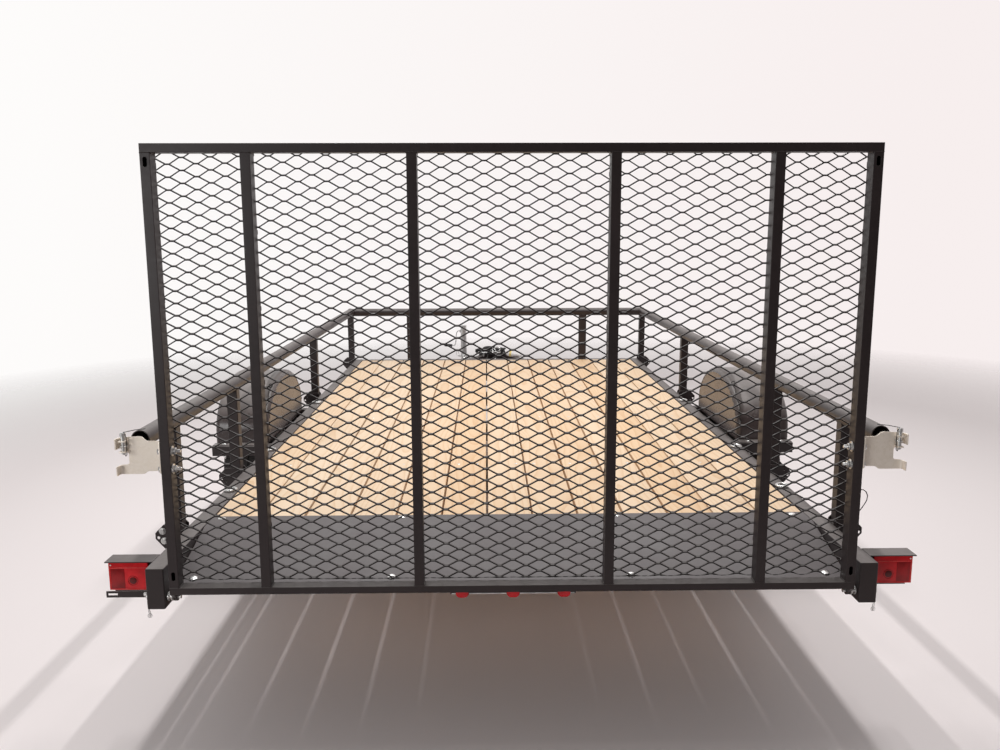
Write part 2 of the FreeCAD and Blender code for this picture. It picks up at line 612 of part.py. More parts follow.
def leaf_spring():
    """Stack of curved leaves under the axle; the top one is rolled into an eye at each end."""
    x0, x1 = SPRING_X - SPRING_WIDTH / 2, SPRING_X + SPRING_WIDTH / 2
    middle = SPRING_TOP + SPRING_CURVE
    leaves = []
    for i, length in enumerate(LEAF_LENGTHS):
        inner = SPRING_CURVE + i * (LEAF_THICK + LEAF_GAP)
        ring = along_x(inner + LEAF_THICK, x0, x1, z=middle).cut(along_x(inner, x0 - 1, x1 + 1, z=middle))
        span = box(x0, x1, AXLE_Y - length / 2, AXLE_Y + length / 2, SPRING_TOP - SPRING_CURVE, middle)
        leaves.append(ring.common(span))
    eyes = [along_x(EYE_RADIUS, x0, x1, AXLE_Y + end * EYE_Y, EYE_Z) for end in (-1, 1)]
    bores = [along_x(SPRING_BOLT_RADIUS + LEAF_GAP, x0 - 1, x1 + 1, AXLE_Y + end * EYE_Y, EYE_Z)
             for end in (-1, 1)]
    leaves[0] = fuse([leaves[0]] + eyes).cut(bores)
    return leaves


def spring_hanger(y):
    """Two plates under the side member, with the bolt through the spring's eye."""
    half = HANGER_LENGTH / 2
    low = EYE_Z - EYE_RADIUS - 4
    cheeks = [box(INNER_X, INNER_X + HANGER_THICK, y - half, y + half, low, MEMBER_BOTTOM),
              box(OUTER_X - HANGER_THICK, OUTER_X, y - half, y + half, low, MEMBER_BOTTOM)]
    bolt = along_x(SPRING_BOLT_RADIUS, INNER_X, OUTER_X, y, EYE_Z)
    return fuse(cheeks + [bolt])


def axle_clamp():
    """Spring pad, bottom plate and the two U bolts that hold the spring under the axle."""
    half_x = SPRING_WIDTH / 2 + 3 * U_BOLT_RADIUS
    half_y = AXLE_TUBE_RADIUS + 3 * U_BOLT_RADIUS
    half_pad = SPRING_WIDTH / 2
    bend = AXLE_TUBE_RADIUS + U_BOLT_RADIUS + LEAF_GAP
    low = SPRING_TOP - len(LEAF_LENGTHS) * (LEAF_THICK + LEAF_GAP)
    pad = box(SPRING_X - half_pad, SPRING_X + half_pad, AXLE_Y - half_y / 2, AXLE_Y + half_y / 2,
              SPRING_TOP, AXLE_Z - AXLE_TUBE_RADIUS / 2)
    pad = pad.common(along_x(SPRING_CURVE - LEAF_GAP, INNER_X, OUTER_X, z=SPRING_TOP + SPRING_CURVE))
    pad = pad.cut(along_x(AXLE_TUBE_RADIUS, INNER_X - half_x, OUTER_X + half_x))
    plate = box(SPRING_X - half_x, SPRING_X + half_x, AXLE_Y - half_y, AXLE_Y + half_y,
                low - CLAMP_THICK, low)
    bolts = []
    for across in (-1, 1):
        x = SPRING_X + across * (SPRING_WIDTH / 2 + 1.5 * U_BOLT_RADIUS)
        arch = Part.makeTorus(bend, U_BOLT_RADIUS, V(x, AXLE_Y, AXLE_Z), V(1, 0, 0))
        over = box(x - 2 * U_BOLT_RADIUS, x + 2 * U_BOLT_RADIUS, AXLE_Y - 2 * bend, AXLE_Y + 2 * bend,
                   AXLE_Z, AXLE_Z + 2 * bend)
        legs = [rod(U_BOLT_RADIUS, V(x, AXLE_Y + end * bend, low - CLAMP_THICK - 12),
                    V(x, AXLE_Y + end * bend, AXLE_Z)) for end in (-1, 1)]
        bolts.append(fuse([arch.common(over)] + legs))
    return [pad, fuse([plate] + bolts)]


def round_wheel(count, circle, radius, x0, x1):
    """Bars along X, evenly spaced on a circle round the axle line."""
    bars = []
    for i in range(count):
        turn = 2 * math.pi * i / count
        y, z = AXLE_Y + circle * math.cos(turn), AXLE_Z + circle * math.sin(turn)
        bars.append(along_x(radius, x0, x1, y, z))
    return bars


def turned(points):
    """Solid of revolution round the axle line, from (x, radius) points with the first one repeated."""
    wire = Part.makePolygon([V(x, AXLE_Y, AXLE_Z + r) for x, r in points])
    return Part.Face(wire).revolve(V(0, AXLE_Y, AXLE_Z), V(1, 0, 0), 360)


def tyre():
    """Carcass with a rounded section, open towards the rim."""
    half = TYRE_WIDTH / 2
    bead = RIM_WIDTH / 2 - RIM_WALL
    height = TYRE_RADIUS - RIM_RADIUS

    def section(inset, foot):
        wide = half - inset
        tread = AXLE_Z + TYRE_RADIUS - inset
        seat = AXLE_Z + RIM_RADIUS + BEAD_GAP + foot
        lip = AXLE_Z + RIM_RADIUS + RIM_FLANGE + BEAD_GAP
        belly = AXLE_Z + RIM_RADIUS + BELLY_SHARE * height
        bulge = AXLE_Z + RIM_RADIUS + BULGE_HEIGHT_SHARE * height - inset / 2

        def edge(side):
            x = WHEEL_X + side * wide
            low, high = V(x, AXLE_Y, belly), V(WHEEL_X + side * wide * TREAD_SHARE, AXLE_Y, tread)
            arc = Part.Arc(low, V(WHEEL_X + side * wide * BULGE_SHARE, AXLE_Y, bulge), high).toShape()
            x = WHEEL_X + side * (bead - BEAD_GAP - inset)
            foot_point, neck = V(x, AXLE_Y, seat), V(x, AXLE_Y, lip)
            return foot_point, high, [Part.makeLine(foot_point, neck), Part.makeLine(neck, low), arc]

        (foot_left, top_left, left), (foot_right, top_right, right) = edge(-1), edge(1)
        ends = [Part.makeLine(top_left, top_right), Part.makeLine(foot_right, foot_left)]
        face = Part.Face(Part.Wire(Part.__sortEdges__(left + right + ends)))
        return face.revolve(V(0, AXLE_Y, AXLE_Z), V(1, 0, 0), 360)

    return section(0, 0).cut(section(TYRE_WALL, -RIM_FLANGE))


# Disc profile: share of the way from the hub flange out to the barrel, and how far it is dished outwards.
DISC_PROFILE = ((0, 0), (0.22, 26), (0.53, 26), (0.76, 2), (1, 2))
HAND_HOLE_SHARE = 0.385


def rim():
    """Barrel with two flanges, and a dished disc with hand holes."""
    half = RIM_WIDTH / 2
    seat, lip, drop = RIM_RADIUS, RIM_RADIUS + RIM_FLANGE, RIM_RADIUS - RIM_WALL
    left, right = WHEEL_X - half, WHEEL_X + half
    barrel = turned([(left, lip), (left + RIM_WALL, lip), (left + RIM_WALL, seat), (right - RIM_WALL, seat),
                     (right - RIM_WALL, lip), (right, lip), (right, drop), (left, drop), (left, lip)])
    span = drop - HUB_FLANGE_RADIUS
    front = [(DISC_X, HUB_RADIUS + 1)]
    front += [(DISC_X + dish, HUB_FLANGE_RADIUS + share * span) for share, dish in DISC_PROFILE]
    back = [(x + DISC_SHEET, r) for x, r in reversed(front)]
    disc = turned(front + back + front[:1])
    circle = HUB_FLANGE_RADIUS + HAND_HOLE_SHARE * span
    past = DISC_X + RIM_WIDTH / 2
    holes = round_wheel(HAND_HOLE_COUNT, circle, HAND_HOLE_RADIUS, DISC_X - 1, past)
    holes += round_wheel(STUD_COUNT, STUD_CIRCLE_RADIUS, STUD_RADIUS + STUD_CLEARANCE, DISC_X - 1, past)
    return fuse([barrel, disc.cut(holes)])


def hub():
    """Bearing hub with a wheel flange, five studs and a closed grease cap."""
    barrel = along_x(HUB_RADIUS, HUB_INNER_X, HUB_INNER_X + HUB_LENGTH)
    flange = along_x(HUB_FLANGE_RADIUS, DISC_X - HUB_FLANGE_THICK, DISC_X)
    bore = along_x(SPINDLE_RADIUS + SPINDLE_CLEARANCE, HUB_INNER_X - 1, SPINDLE_END_X + 2)
    studs = round_wheel(STUD_COUNT, STUD_CIRCLE_RADIUS, STUD_RADIUS, DISC_X - HUB_FLANGE_THICK / 2,
                        DISC_X + STUD_LENGTH)
    return fuse([barrel, flange] + studs).cut(bore)


# ------------------------------------------------------------------ fenders
def arch_outline(inset, x, base):
    """Side view of the fender: uprights and a single arc over the wheel."""
    half, crown = FENDER_HALF - inset, FENDER_TOP - inset
    knee = DECK_Z + FENDER_UPRIGHT
    feet = [V(x, AXLE_Y - half, base), V(x, AXLE_Y + half, base)]
    knees = [V(x, AXLE_Y - half, knee), V(x, AXLE_Y + half, knee)]
    arc = Part.Arc(knees[0], V(x, AXLE_Y, crown), knees[1]).toShape()
    return Part.Wire([Part.makeLine(feet[0], knees[0]), arc, Part.makeLine(knees[1], feet[1]),
                      Part.makeLine(feet[1], feet[0])])


def arch_slab(inset, x0, x1, base=DECK_Z):
    return Part.Face(arch_outline(inset, x0, base)).extrude(V(x1 - x0, 0, 0))


def fender():
    """Rolled sheet over the wheel, closed on the inside, with a lip outside and a foot at each end."""
    cover = arch_slab(0, FENDER_INNER_X, FENDER_OUTER_X)
    hollow = arch_slab(FENDER_SHEET, FENDER_INNER_X + FENDER_SHEET, FENDER_OUTER_X - FENDER_SHEET, DECK_Z - 1)
    mouth = arch_slab(FENDER_LIP, FENDER_OUTER_X - 2 * FENDER_SHEET, FENDER_OUTER_X + 1, DECK_Z - 1)
    feet = [box(FENDER_INNER_X, FENDER_OUTER_X, AXLE_Y + end * (FENDER_HALF - FENDER_SHEET),
                AXLE_Y + end * (FENDER_HALF + FENDER_FOOT), DECK_Z, DECK_Z + FENDER_SHEET) for end in (-1, 1)]
    return fuse([cover.cut([hollow, mouth])] + feet)


def outrigger(end):
    """Tube out of the side member under one foot of the fender."""
    y0 = AXLE_Y + end * FENDER_HALF
    y1 = y0 + end * OUTRIGGER_WIDTH
    low = DECK_Z - OUTRIGGER_HEIGHT
    outer = box(OUTER_X, FENDER_OUTER_X, y0, y1, low, DECK_Z)
    wall = OUTRIGGER_WALL
    inner = box(OUTER_X - 1, FENDER_OUTER_X + 1, y0 + end * wall, y1 - end * wall, low + wall, DECK_Z - wall)
    return outer.cut(inner)


# ------------------------------------------------------------------ ramp gate
def square_tube(x0, x1, y0, y1, z0, z1, open_along):
    """Thin-walled tube, open along one axis: 0 for X, 2 for Z."""
    low, high = [x0, y0, z0], [x1, y1, z1]
    for axis in range(3):
        step = -1 if axis == open_along else GATE_WALL
        low[axis] += step
        high[axis] -= step
    return box(x0, x1, y0, y1, z0, z1).cut(box(low[0], high[0], low[1], high[1], low[2], high[2]))


def gate_crossbars():
    """Top and bottom bars, the full width of the gate."""
    heights = ((GATE_LOW, GATE_LOW + GATE_BOTTOM_BAR), (GATE_HIGH - GATE_TOP_BAR, GATE_HIGH))
    return group(square_tube(-GATE_HALF, GATE_HALF, GATE_BACK, GATE_FRONT, z0, z1, 0) for z0, z1 in heights)


def rear_slot(x, z):
    """Oblong cutter for a slot in an upright's rear wall."""
    run = SLOT_LENGTH / 2 - SLOT_HALF
    y0, y1 = GATE_BACK - 1, GATE_BACK + GATE_WALL + 1
    ends = [rod(SLOT_HALF, V(x, y0, z + end * run), V(x, y1, z + end * run)) for end in (-1, 1)]
    return fuse(ends + [box(x - SLOT_HALF, x + SLOT_HALF, y0, y1, z - run, z + run)])


def gate_uprights():
    """Three uprights each side; the outermost has a slot in its rear face near each end."""
    low, high = GATE_LOW + GATE_BOTTOM_BAR, GATE_HIGH - GATE_TOP_BAR
    side_x = GATE_HALF - GATE_BAR / 2
    bars = [square_tube(x - GATE_BAR / 2, x + GATE_BAR / 2, GATE_BACK, GATE_FRONT, low, high, 2)
            for x in GATE_INNER_UPRIGHTS + (side_x,)]
    bars[-1] = bars[-1].cut([rear_slot(side_x, z) for z in (low + SLOT_FROM_BOTTOM, high - SLOT_FROM_TOP)])
    return group(mirrored(bar, side) for bar in bars for side, _ in SIDES)


def mesh_panel(left, right):
    """One bay of diamond openings; the lattice runs on from bay to bay."""
    low, high = GATE_LOW + GATE_BOTTOM_BAR / 2, GATE_HIGH - GATE_TOP_BAR / 2
    y = GATE_FRONT
    half_x = MESH_LONG / 2 - MESH_BOND / 2
    half_z = MESH_SHORT / 2 - MESH_STRAND * 0.75
    wires = [Part.makePolygon([V(left, y, low), V(right, y, low), V(right, y, high), V(left, y, high),
                               V(left, y, low)])]
    rows = int((high - low) / (MESH_SHORT / 2))
    columns = int(2 * GATE_HALF / MESH_LONG) + 2
    for row in range(rows):
        z = (low + high) / 2 + (row - (rows - 1) / 2) * MESH_SHORT / 2
        for column in range(columns):
            x = (column - (columns - 1) / 2 + (row % 2) / 2) * MESH_LONG
            inside_x = left + MESH_STRAND < x - half_x and x + half_x < right - MESH_STRAND
            inside_z = low + MESH_STRAND < z - half_z and z + half_z < high - MESH_STRAND
            if inside_x and inside_z:
                wires.append(Part.makePolygon([V(x - half_x, y, z), V(x, y, z + half_z), V(x + half_x, y, z),
                                               V(x, y, z - half_z), V(x - half_x, y, z)]))
    return Part.Face(wires).extrude(V(0, MESH_THICK, 0))


def gate_mesh():
    """Sheet of diamond openings on the trailer side of the bars, in bays that meet behind the uprights."""
    edge = GATE_HALF - MESH_STRAND
    stops = [-edge] + sorted(side * x for x in GATE_INNER_UPRIGHTS for side, _ in SIDES) + [edge]
    return group(mesh_panel(left + MESH_SPLIT, right - MESH_SPLIT) for left, right in zip(stops, stops[1:]))


def gate_lug():
    """Plate under the bottom bar, bored for the hinge pin."""
    x1 = HINGE_LUG_X + HINGE_LUG
    round_end = rod(HINGE_LUG_RADIUS, V(HINGE_LUG_X, HINGE_Y, HINGE_Z), V(x1, HINGE_Y, HINGE_Z))
    neck = sheet([V(HINGE_LUG_X, GATE_BACK, GATE_LOW), V(HINGE_LUG_X, GATE_FRONT, GATE_LOW),
                  V(HINGE_LUG_X, HINGE_Y, HINGE_Z), V(HINGE_LUG_X, HINGE_Y - HINGE_LUG_RADIUS, HINGE_Z)],
                 V(HINGE_LUG, 0, 0))
    above = box(HINGE_LUG_X - 1, x1 + 1, GATE_BACK, HINGE_Y + HINGE_LUG_RADIUS + 1,
                GATE_LOW, GATE_LOW + GATE_BAR)
    bore = rod(HINGE_PIN_RADIUS + HINGE_CLEARANCE, V(HINGE_LUG_X - 1, HINGE_Y, HINGE_Z),
               V(x1 + 1, HINGE_Y, HINGE_Z))
    return fuse([round_end, neck]).cut([above, bore])


def hinge_pin():
    """Pin through the side member and the gate's lug, with a head outside."""
    shank = rod(HINGE_PIN_RADIUS, V(HINGE_LUG_X - HINGE_PIN_PROUD, HINGE_Y, HINGE_Z),
                V(OUTER_X + 1, HINGE_Y, HINGE_Z))
    head = rod(HINGE_PIN_HEAD, V(OUTER_X, HINGE_Y, HINGE_Z), V(OUTER_X + 5, HINGE_Y, HINGE_Z))
    return fuse([shank, head])


NOTCH_Z = RAIL_Z - RAIL_RADIUS - STRAP_THICK / 2
PIN_X = RAIL_X + LATCH_PIN_OUT
PIN_Y = LATCH_FRONT - LATCH_THICK - LATCH_PIN_HEAD - STRAP_GAP


def latch_plate():
    """Angle on the gate's side bar: a leg bolted to the bar and a notched leg that reaches the rail end."""
    low, high = NOTCH_Z - LATCH_BELOW, NOTCH_Z + LATCH_ABOVE
    reach = RAIL_X + LATCH_REACH
    bolted = box(GATE_HALF, GATE_HALF + LATCH_THICK, GATE_BACK, LATCH_FRONT, low, high)
    leg = box(GATE_HALF, reach, LATCH_FRONT - LATCH_THICK, LATCH_FRONT, low, high)
    notch = box(RAIL_X + LATCH_NOTCH_START, reach + 1, LATCH_FRONT - LATCH_THICK - 1, LATCH_FRONT + 1,
                NOTCH_Z - LATCH_NOTCH_HALF, NOTCH_Z + LATCH_NOTCH_HALF)
    ears = [box(PIN_X - LATCH_EAR_HALF, PIN_X + LATCH_EAR_HALF, GATE_BACK,
                LATCH_FRONT - LATCH_THICK, z, z + LATCH_THICK)
            for z in (NOTCH_Z + LATCH_NOTCH_HALF, NOTCH_Z - LATCH_NOTCH_HALF - LATCH_THICK)]
    hole = rod(LATCH_PIN_RADIUS + STRAP_GAP / 4, V(PIN_X, PIN_Y, low - 1),
               V(PIN_X, PIN_Y, high + 1))
    return fuse([bolted, leg.cut(notch)] + [ear.cut(hole) for ear in ears])


def latch_pin():
    """Vertical drop pin through both ears, with a head resting on the upper one."""
    shelf = NOTCH_Z + LATCH_NOTCH_HALF + LATCH_THICK
    foot = NOTCH_Z - LATCH_NOTCH_HALF - 3 * LATCH_THICK
    shank = rod(LATCH_PIN_RADIUS, V(PIN_X, PIN_Y, foot), V(PIN_X, PIN_Y, shelf + LATCH_PIN_RISE))
    collar = rod(LATCH_PIN_HEAD, V(PIN_X, PIN_Y, shelf), V(PIN_X, PIN_Y, shelf + LATCH_PIN_COLLAR))
    return fuse([shank, collar])


def rail_strap():
    """Flat bar under the rail's rear end, forked towards the rear to take the latch pin."""
    high = RAIL_Z - RAIL_RADIUS
    low = high - STRAP_THICK
    rear, front = FRAME_REAR - STRAP_BEHIND, RAIL_REAR_Y + 3 * RAIL_RADIUS
    bar = box(PIN_X - STRAP_WIDTH / 2, PIN_X + STRAP_WIDTH / 2, rear, front, low, high)
    inner = box(RAIL_X - RAIL_RADIUS / 2, PIN_X, RAIL_REAR_Y + RAIL_RADIUS / 2, front, low, high)
    half = LATCH_PIN_RADIUS + STRAP_GAP
    slot = fuse([rod(half, V(PIN_X, PIN_Y, low - 1), V(PIN_X, PIN_Y, high + 1)),
                 box(PIN_X - half, PIN_X + half, rear - 1, PIN_Y, low - 1, high + 1)])
    return fuse([bar, inner]).cut(slot)


# ------------------------------------------------------------------ lamps and small fittings
LAMP_BACK = FRAME_REAR + LAMP_SHORT
LAMP_X0 = OUTER_X + LAMP_SIDE_GAP
LAMP_X1 = LAMP_X0 + LAMP_WIDTH
LAMP_Z0 = DECK_Z + LAMP_CENTRE - LAMP_HEIGHT / 2
LAMP_Z1 = LAMP_Z0 + LAMP_HEIGHT
PLATE_ARM_HIGH = LAMP_Z0 - PLATE_ARM_DROP
PLATE_ARM_LOW = PLATE_ARM_HIGH - PLATE_ARM_HEIGHT


def lamp_lens():
    return box(LAMP_X0, LAMP_X1, LAMP_BACK, LAMP_BACK + LENS_DEPTH, LAMP_Z0, LAMP_Z1)


def lamp_housing():
    return box(LAMP_X0, LAMP_X1, LAMP_BACK + LENS_DEPTH, LAMP_BACK + LAMP_DEPTH, LAMP_Z0, LAMP_Z1)


def lamp_guard():
    """Bent sheet on the side member: a hood over the lamp and a back plate that carries it."""
    out = LAMP_X1 + 2 * GUARD_SHEET
    back = LAMP_BACK + LAMP_DEPTH
    hood = box(OUTER_X, out, LAMP_BACK - HOOD_LAP, back + GUARD_SHEET, LAMP_Z1, LAMP_Z1 + GUARD_SHEET)
    plate = box(OUTER_X, out, back, back + GUARD_SHEET, PLATE_ARM_LOW, LAMP_Z1)
    return fuse([hood, plate])


def plate_bracket():
    """Slotted arm for a registration plate below the left lamp, bent forwards to the lamp guard's plate."""
    front = LAMP_BACK + LAMP_DEPTH
    x0, x1 = -LAMP_X0, -OUTER_X - PLATE_ARM_LENGTH
    arm = box(x0, x1, LAMP_BACK, LAMP_BACK + GUARD_SHEET, PLATE_ARM_LOW, PLATE_ARM_HIGH)
    leg = box(x0, x0 - GUARD_SHEET, LAMP_BACK, front, PLATE_ARM_LOW, PLATE_ARM_HIGH)
    middle = (PLATE_ARM_LOW + PLATE_ARM_HIGH) / 2
    slot = box(x1 + PLATE_SLOT_START, x1 + PLATE_SLOT_END, LAMP_BACK - 1, LAMP_BACK + GUARD_SHEET + 1,
               middle - 3, middle + 3)
    return fuse([arm, leg]).cut(slot)


MARKER_Z = plate_surface(REAR_BEAM_BACK) - PLATE_THICK - REAR_BEAM_HEIGHT


def marker_bar():
    """Strip on the rear face of the rear beam."""
    half = MARKER_PITCH + MARKER_HALF + 2 * MARKER_RADIUS
    return box(-half, half, REAR_BEAM_BACK - GUARD_SHEET, REAR_BEAM_BACK, MARKER_Z - MARKER_STRIP_BELOW,
               MARKER_Z + MARKER_STRIP_ABOVE)


def marker_lens(x):
    """Oval lens standing on the strip."""
    front = REAR_BEAM_BACK - GUARD_SHEET
    back = front - MARKER_DEPTH
    x0, x1 = x - MARKER_HALF, x + MARKER_HALF
    ends = [rod(MARKER_RADIUS, V(end, back, MARKER_Z), V(end, front, MARKER_Z)) for end in (x0, x1)]
    return fuse(ends + [box(x0, x1, back, front, MARKER_Z - MARKER_RADIUS, MARKER_Z + MARKER_RADIUS)])


def tie_down(y):
    """Clip on top of the side member with a ring lying in it."""
    clip = box(SPRING_X - TIE_RING_RADIUS, SPRING_X + TIE_RING_RADIUS, y - 10, y + 10, DECK_Z, DECK_Z + 4)
    ring = Part.makeTorus(TIE_RING_RADIUS, TIE_WIRE_RADIUS, V(SPRING_X, y, DECK_Z + 6), V(0, 0, 1))
    return fuse([clip, ring])


# ------------------------------------------------------------------ nodes
def both_sides(maker, *values):
    """Solids of every value, on both sides, as one node."""
    shapes = [maker(value) for value in values] if values else [maker()]
    return group(mirrored(shape, side) for shape in shapes for side, _ in SIDES)


def build():
    nodes = {
        "front_member": front_member(),
        "rear_beam": rear_beam(),
        "deck_crossmembers": group([rear_sill()] + [angle_iron(CROSS_FIRST_Y + i * CROSS_PITCH, BOARD_BOTTOM)
                                                    for i in range(CROSS_COUNT)]),
        "deck_boards": deck_boards(),
        "tail_plate": tail_plate(),
        "coupler": coupler(),
        "coupler_latch": coupler_latch(),
        "jack_mount": jack_mount(),
        "jack_tube": jack_tube(),
        "jack_leg": jack_leg(),
        "jack_crank": jack_crank(),
        "front_rail": front_rail(),
        "front_posts": front_posts(),
        "side_posts": both_sides(side_post, *ALL_POST_Y),
        "post_brackets": both_sides(post_bracket, *ALL_POST_Y),
        "axle": axle(),
        "leaf_springs": group(mirrored(leaf, side) for leaf in leaf_spring() for side, _ in SIDES),
        "spring_hangers": both_sides(spring_hanger, AXLE_Y - EYE_Y, AXLE_Y + EYE_Y),
        "axle_clamps": group(mirrored(piece, side) for piece in axle_clamp() for side, _ in SIDES),
        "fender_outriggers": both_sides(outrigger, -1, 1),
        "gate_crossbars": gate_crossbars(),
        "gate_uprights": gate_uprights(),
        "gate_mesh": gate_mesh(),
        "gate_lugs": both(gate_lug()),
        "hinge_pins": both(hinge_pin()),
        "latch_plates": both(latch_plate()),
        "latch_pins": both(latch_pin()),
        "rail_straps": both(rail_strap()),
        "lamp_lenses": both(lamp_lens()),
        "lamp_housings": both(lamp_housing()),
        "lamp_guards": both(lamp_guard()),
        "plate_bracket": plate_bracket(),
        "marker_bar": marker_bar(),
        "marker_lenses": group(marker_lens(i * MARKER_PITCH) for i in (-1, 0, 1)),
        "tie_downs": both_sides(tie_down, *TIE_DOWN_Y),
    }
    pairs = (("side_member", side_member()), ("tongue_beam", tongue_beam()), ("side_rail", side_rail()),
             ("fender", fender()), ("hub", hub()), ("wheel_rim", rim()), ("tyre", tyre()))
    for name, shape in pairs:
        for side, word in SIDES:
            nodes[name + "_" + word] = mirrored(shape, side)
    return nodes


os.makedirs("parts", exist_ok=True)
for node, shape in build().items():
    shape.translate(V(0, -ORIGIN_Y, 0))
    shape.exportStep("parts/" + node + ".step")

print("origin moved along Y by", -ORIGIN_Y)
print("wheel joint", [0, AXLE_Y - ORIGIN_Y, AXLE_Z], "wheel x", WHEEL_X)
print("gate joint", [0, HINGE_Y - ORIGIN_Y, HINGE_Z])
print("jack swivel", list(at_jack(SWIVEL_Z) - V(0, ORIGIN_Y, 0)), list(SWIVEL_OUT))
print("ball", [0, BALL_Y - ORIGIN_Y, BALL_Z])
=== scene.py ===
# %% [markdown]
# # A utility trailer with a mesh ramp gate
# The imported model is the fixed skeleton: frame, rails, wheels, gate and jack at their real sizes, in metres,
# with +X to the trailer's right, +Y forwards and +Z up. This lesson dresses it: rounded edges, expanded
# steel, pine boards, tyres, lamps, bolts and welds. It starts by loading the skeleton and noting its box.

# %% Load the frame
import bpy
import bmesh
import json
import math
import random
from mathutils import Matrix, Quaternion, Vector

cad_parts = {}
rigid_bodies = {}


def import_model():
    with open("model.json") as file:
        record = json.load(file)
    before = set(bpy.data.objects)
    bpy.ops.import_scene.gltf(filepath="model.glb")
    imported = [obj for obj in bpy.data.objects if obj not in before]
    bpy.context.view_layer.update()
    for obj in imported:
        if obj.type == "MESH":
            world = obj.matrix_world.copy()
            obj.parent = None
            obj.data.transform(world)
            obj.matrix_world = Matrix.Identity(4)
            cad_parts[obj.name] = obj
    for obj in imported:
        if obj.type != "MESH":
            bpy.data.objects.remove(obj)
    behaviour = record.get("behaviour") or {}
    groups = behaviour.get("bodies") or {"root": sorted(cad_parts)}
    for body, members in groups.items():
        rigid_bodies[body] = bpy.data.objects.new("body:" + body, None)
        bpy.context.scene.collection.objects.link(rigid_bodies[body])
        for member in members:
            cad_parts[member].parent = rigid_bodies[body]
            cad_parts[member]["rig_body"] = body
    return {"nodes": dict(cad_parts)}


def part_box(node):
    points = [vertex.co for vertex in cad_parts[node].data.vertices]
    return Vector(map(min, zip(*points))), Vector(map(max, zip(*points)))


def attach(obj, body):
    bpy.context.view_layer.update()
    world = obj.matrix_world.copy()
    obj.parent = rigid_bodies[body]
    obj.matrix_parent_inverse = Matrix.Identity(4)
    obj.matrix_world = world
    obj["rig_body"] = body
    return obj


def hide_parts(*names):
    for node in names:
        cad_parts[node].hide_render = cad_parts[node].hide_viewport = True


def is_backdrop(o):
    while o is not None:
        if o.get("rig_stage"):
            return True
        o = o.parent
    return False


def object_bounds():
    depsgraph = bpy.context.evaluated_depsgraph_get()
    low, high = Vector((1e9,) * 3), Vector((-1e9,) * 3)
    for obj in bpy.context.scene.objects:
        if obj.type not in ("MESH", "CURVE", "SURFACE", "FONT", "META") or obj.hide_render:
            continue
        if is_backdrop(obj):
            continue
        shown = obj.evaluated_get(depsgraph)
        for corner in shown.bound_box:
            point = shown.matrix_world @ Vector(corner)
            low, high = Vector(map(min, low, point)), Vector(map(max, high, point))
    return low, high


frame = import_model()
CAD_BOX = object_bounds()

# %% [markdown]
# A camera is a lens and a place. This one stands behind the trailer at chest height, looks slightly down
# and sees the whole gate. Its three axes are worked out from yaw, pitch and roll, because a matrix made of
# axes can't be read two ways, as a list of Euler angles can.

# %% Camera
LENS_MM = 31.03
SENSOR_MM = 36.0
CAMERA_PLACE = Vector((-0.0694, -4.6700, 1.4097))
PITCH_DOWN = math.radians(9.504)
YAW_RIGHT = math.radians(0.890)
ROLL = math.radians(0.1616)


def camera_axes():
    """Right, up and backward directions of the camera."""
    forward = Vector((math.sin(YAW_RIGHT) * math.cos(PITCH_DOWN), math.cos(YAW_RIGHT) * math.cos(PITCH_DOWN),
                      -math.sin(PITCH_DOWN)))
    level = Vector((math.cos(YAW_RIGHT), -math.sin(YAW_RIGHT), 0))
    down = forward.cross(level)
    right = level * math.cos(ROLL) + down * math.sin(ROLL)
    return right, right.cross(forward), -forward


camera_data = bpy.data.cameras.new("camera")
camera_data.lens = LENS_MM
camera_data.sensor_width = SENSOR_MM
camera = bpy.data.objects.new("camera", camera_data)
axes = Matrix(camera_axes()).transposed().to_4x4()
camera.matrix_world = Matrix.Translation(CAMERA_PLACE) @ axes
bpy.context.scene.collection.objects.link(camera)
bpy.context.scene.camera = camera
print("camera at", tuple(camera.matrix_world.translation))

# %% [markdown]
# Blender meshes are lists of corner points and faces. Small makers below return such a pair of lists, so
# that many bolts or beads can be joined into one piece before an object is made. Each piece then rides on
# a body of the skeleton, which is what lets the gate fold with everything that hangs on it.

# %% Mesh helpers
TAU = 2 * math.pi


def joined(shapes):
    """Several (points, faces) pairs as one."""
    points, faces = [], []
    for some_points, some_faces in shapes:
        start = len(points)
        points.extend(some_points)
        faces.extend(tuple(i + start for i in face) for face in some_faces)
    return points, faces


def skin(rings, closed=False, flipped=False):
    """Rings with the same number of points, joined by quads, with flat ends or bent round into a closed loop."""
    count, sides = len(rings), len(rings[0])
    faces = []
    for i in range(count if closed else count - 1):
        j = (i + 1) % count
        for k in range(sides):
            n = (k + 1) % sides
            faces.append((i * sides + k, i * sides + n, j * sides + n, j * sides + k))
    if not closed:
        faces.append(tuple(reversed(range(sides))))
        faces.append(tuple(range((count - 1) * sides, count * sides)))
    return [p for ring in rings for p in ring], inside_out(faces) if flipped else faces


def inside_out(faces):
    return [tuple(reversed(face)) for face in faces]


def circle(sides):
    """Cosine and sine at even steps round a circle."""
    return [(math.cos(TAU * k / sides), math.sin(TAU * k / sides)) for k in range(sides)]


def hoop(middle, radius, steps, along=(1, 0, 0), up=(0, 0, 1)):
    """Points of a circle about a middle, in the plane of two directions."""
    return [tuple(m + (a * c + u * d) * radius for m, a, u in zip(middle, along, up)) for c, d in circle(steps)]


def moved(shape, offset, turn=None):
    """A (points, faces) pair turned by a matrix and then shifted."""
    points, faces = shape
    offset = Vector(offset)
    turn = turn or Matrix.Identity(3)
    return [turn @ Vector(p) + offset for p in points], faces


def mirrored(shape):
    """The same shape on the other side of the trailer's middle."""
    points, faces = shape
    return [Vector((-p[0], p[1], p[2])) for p in points], inside_out(faces)


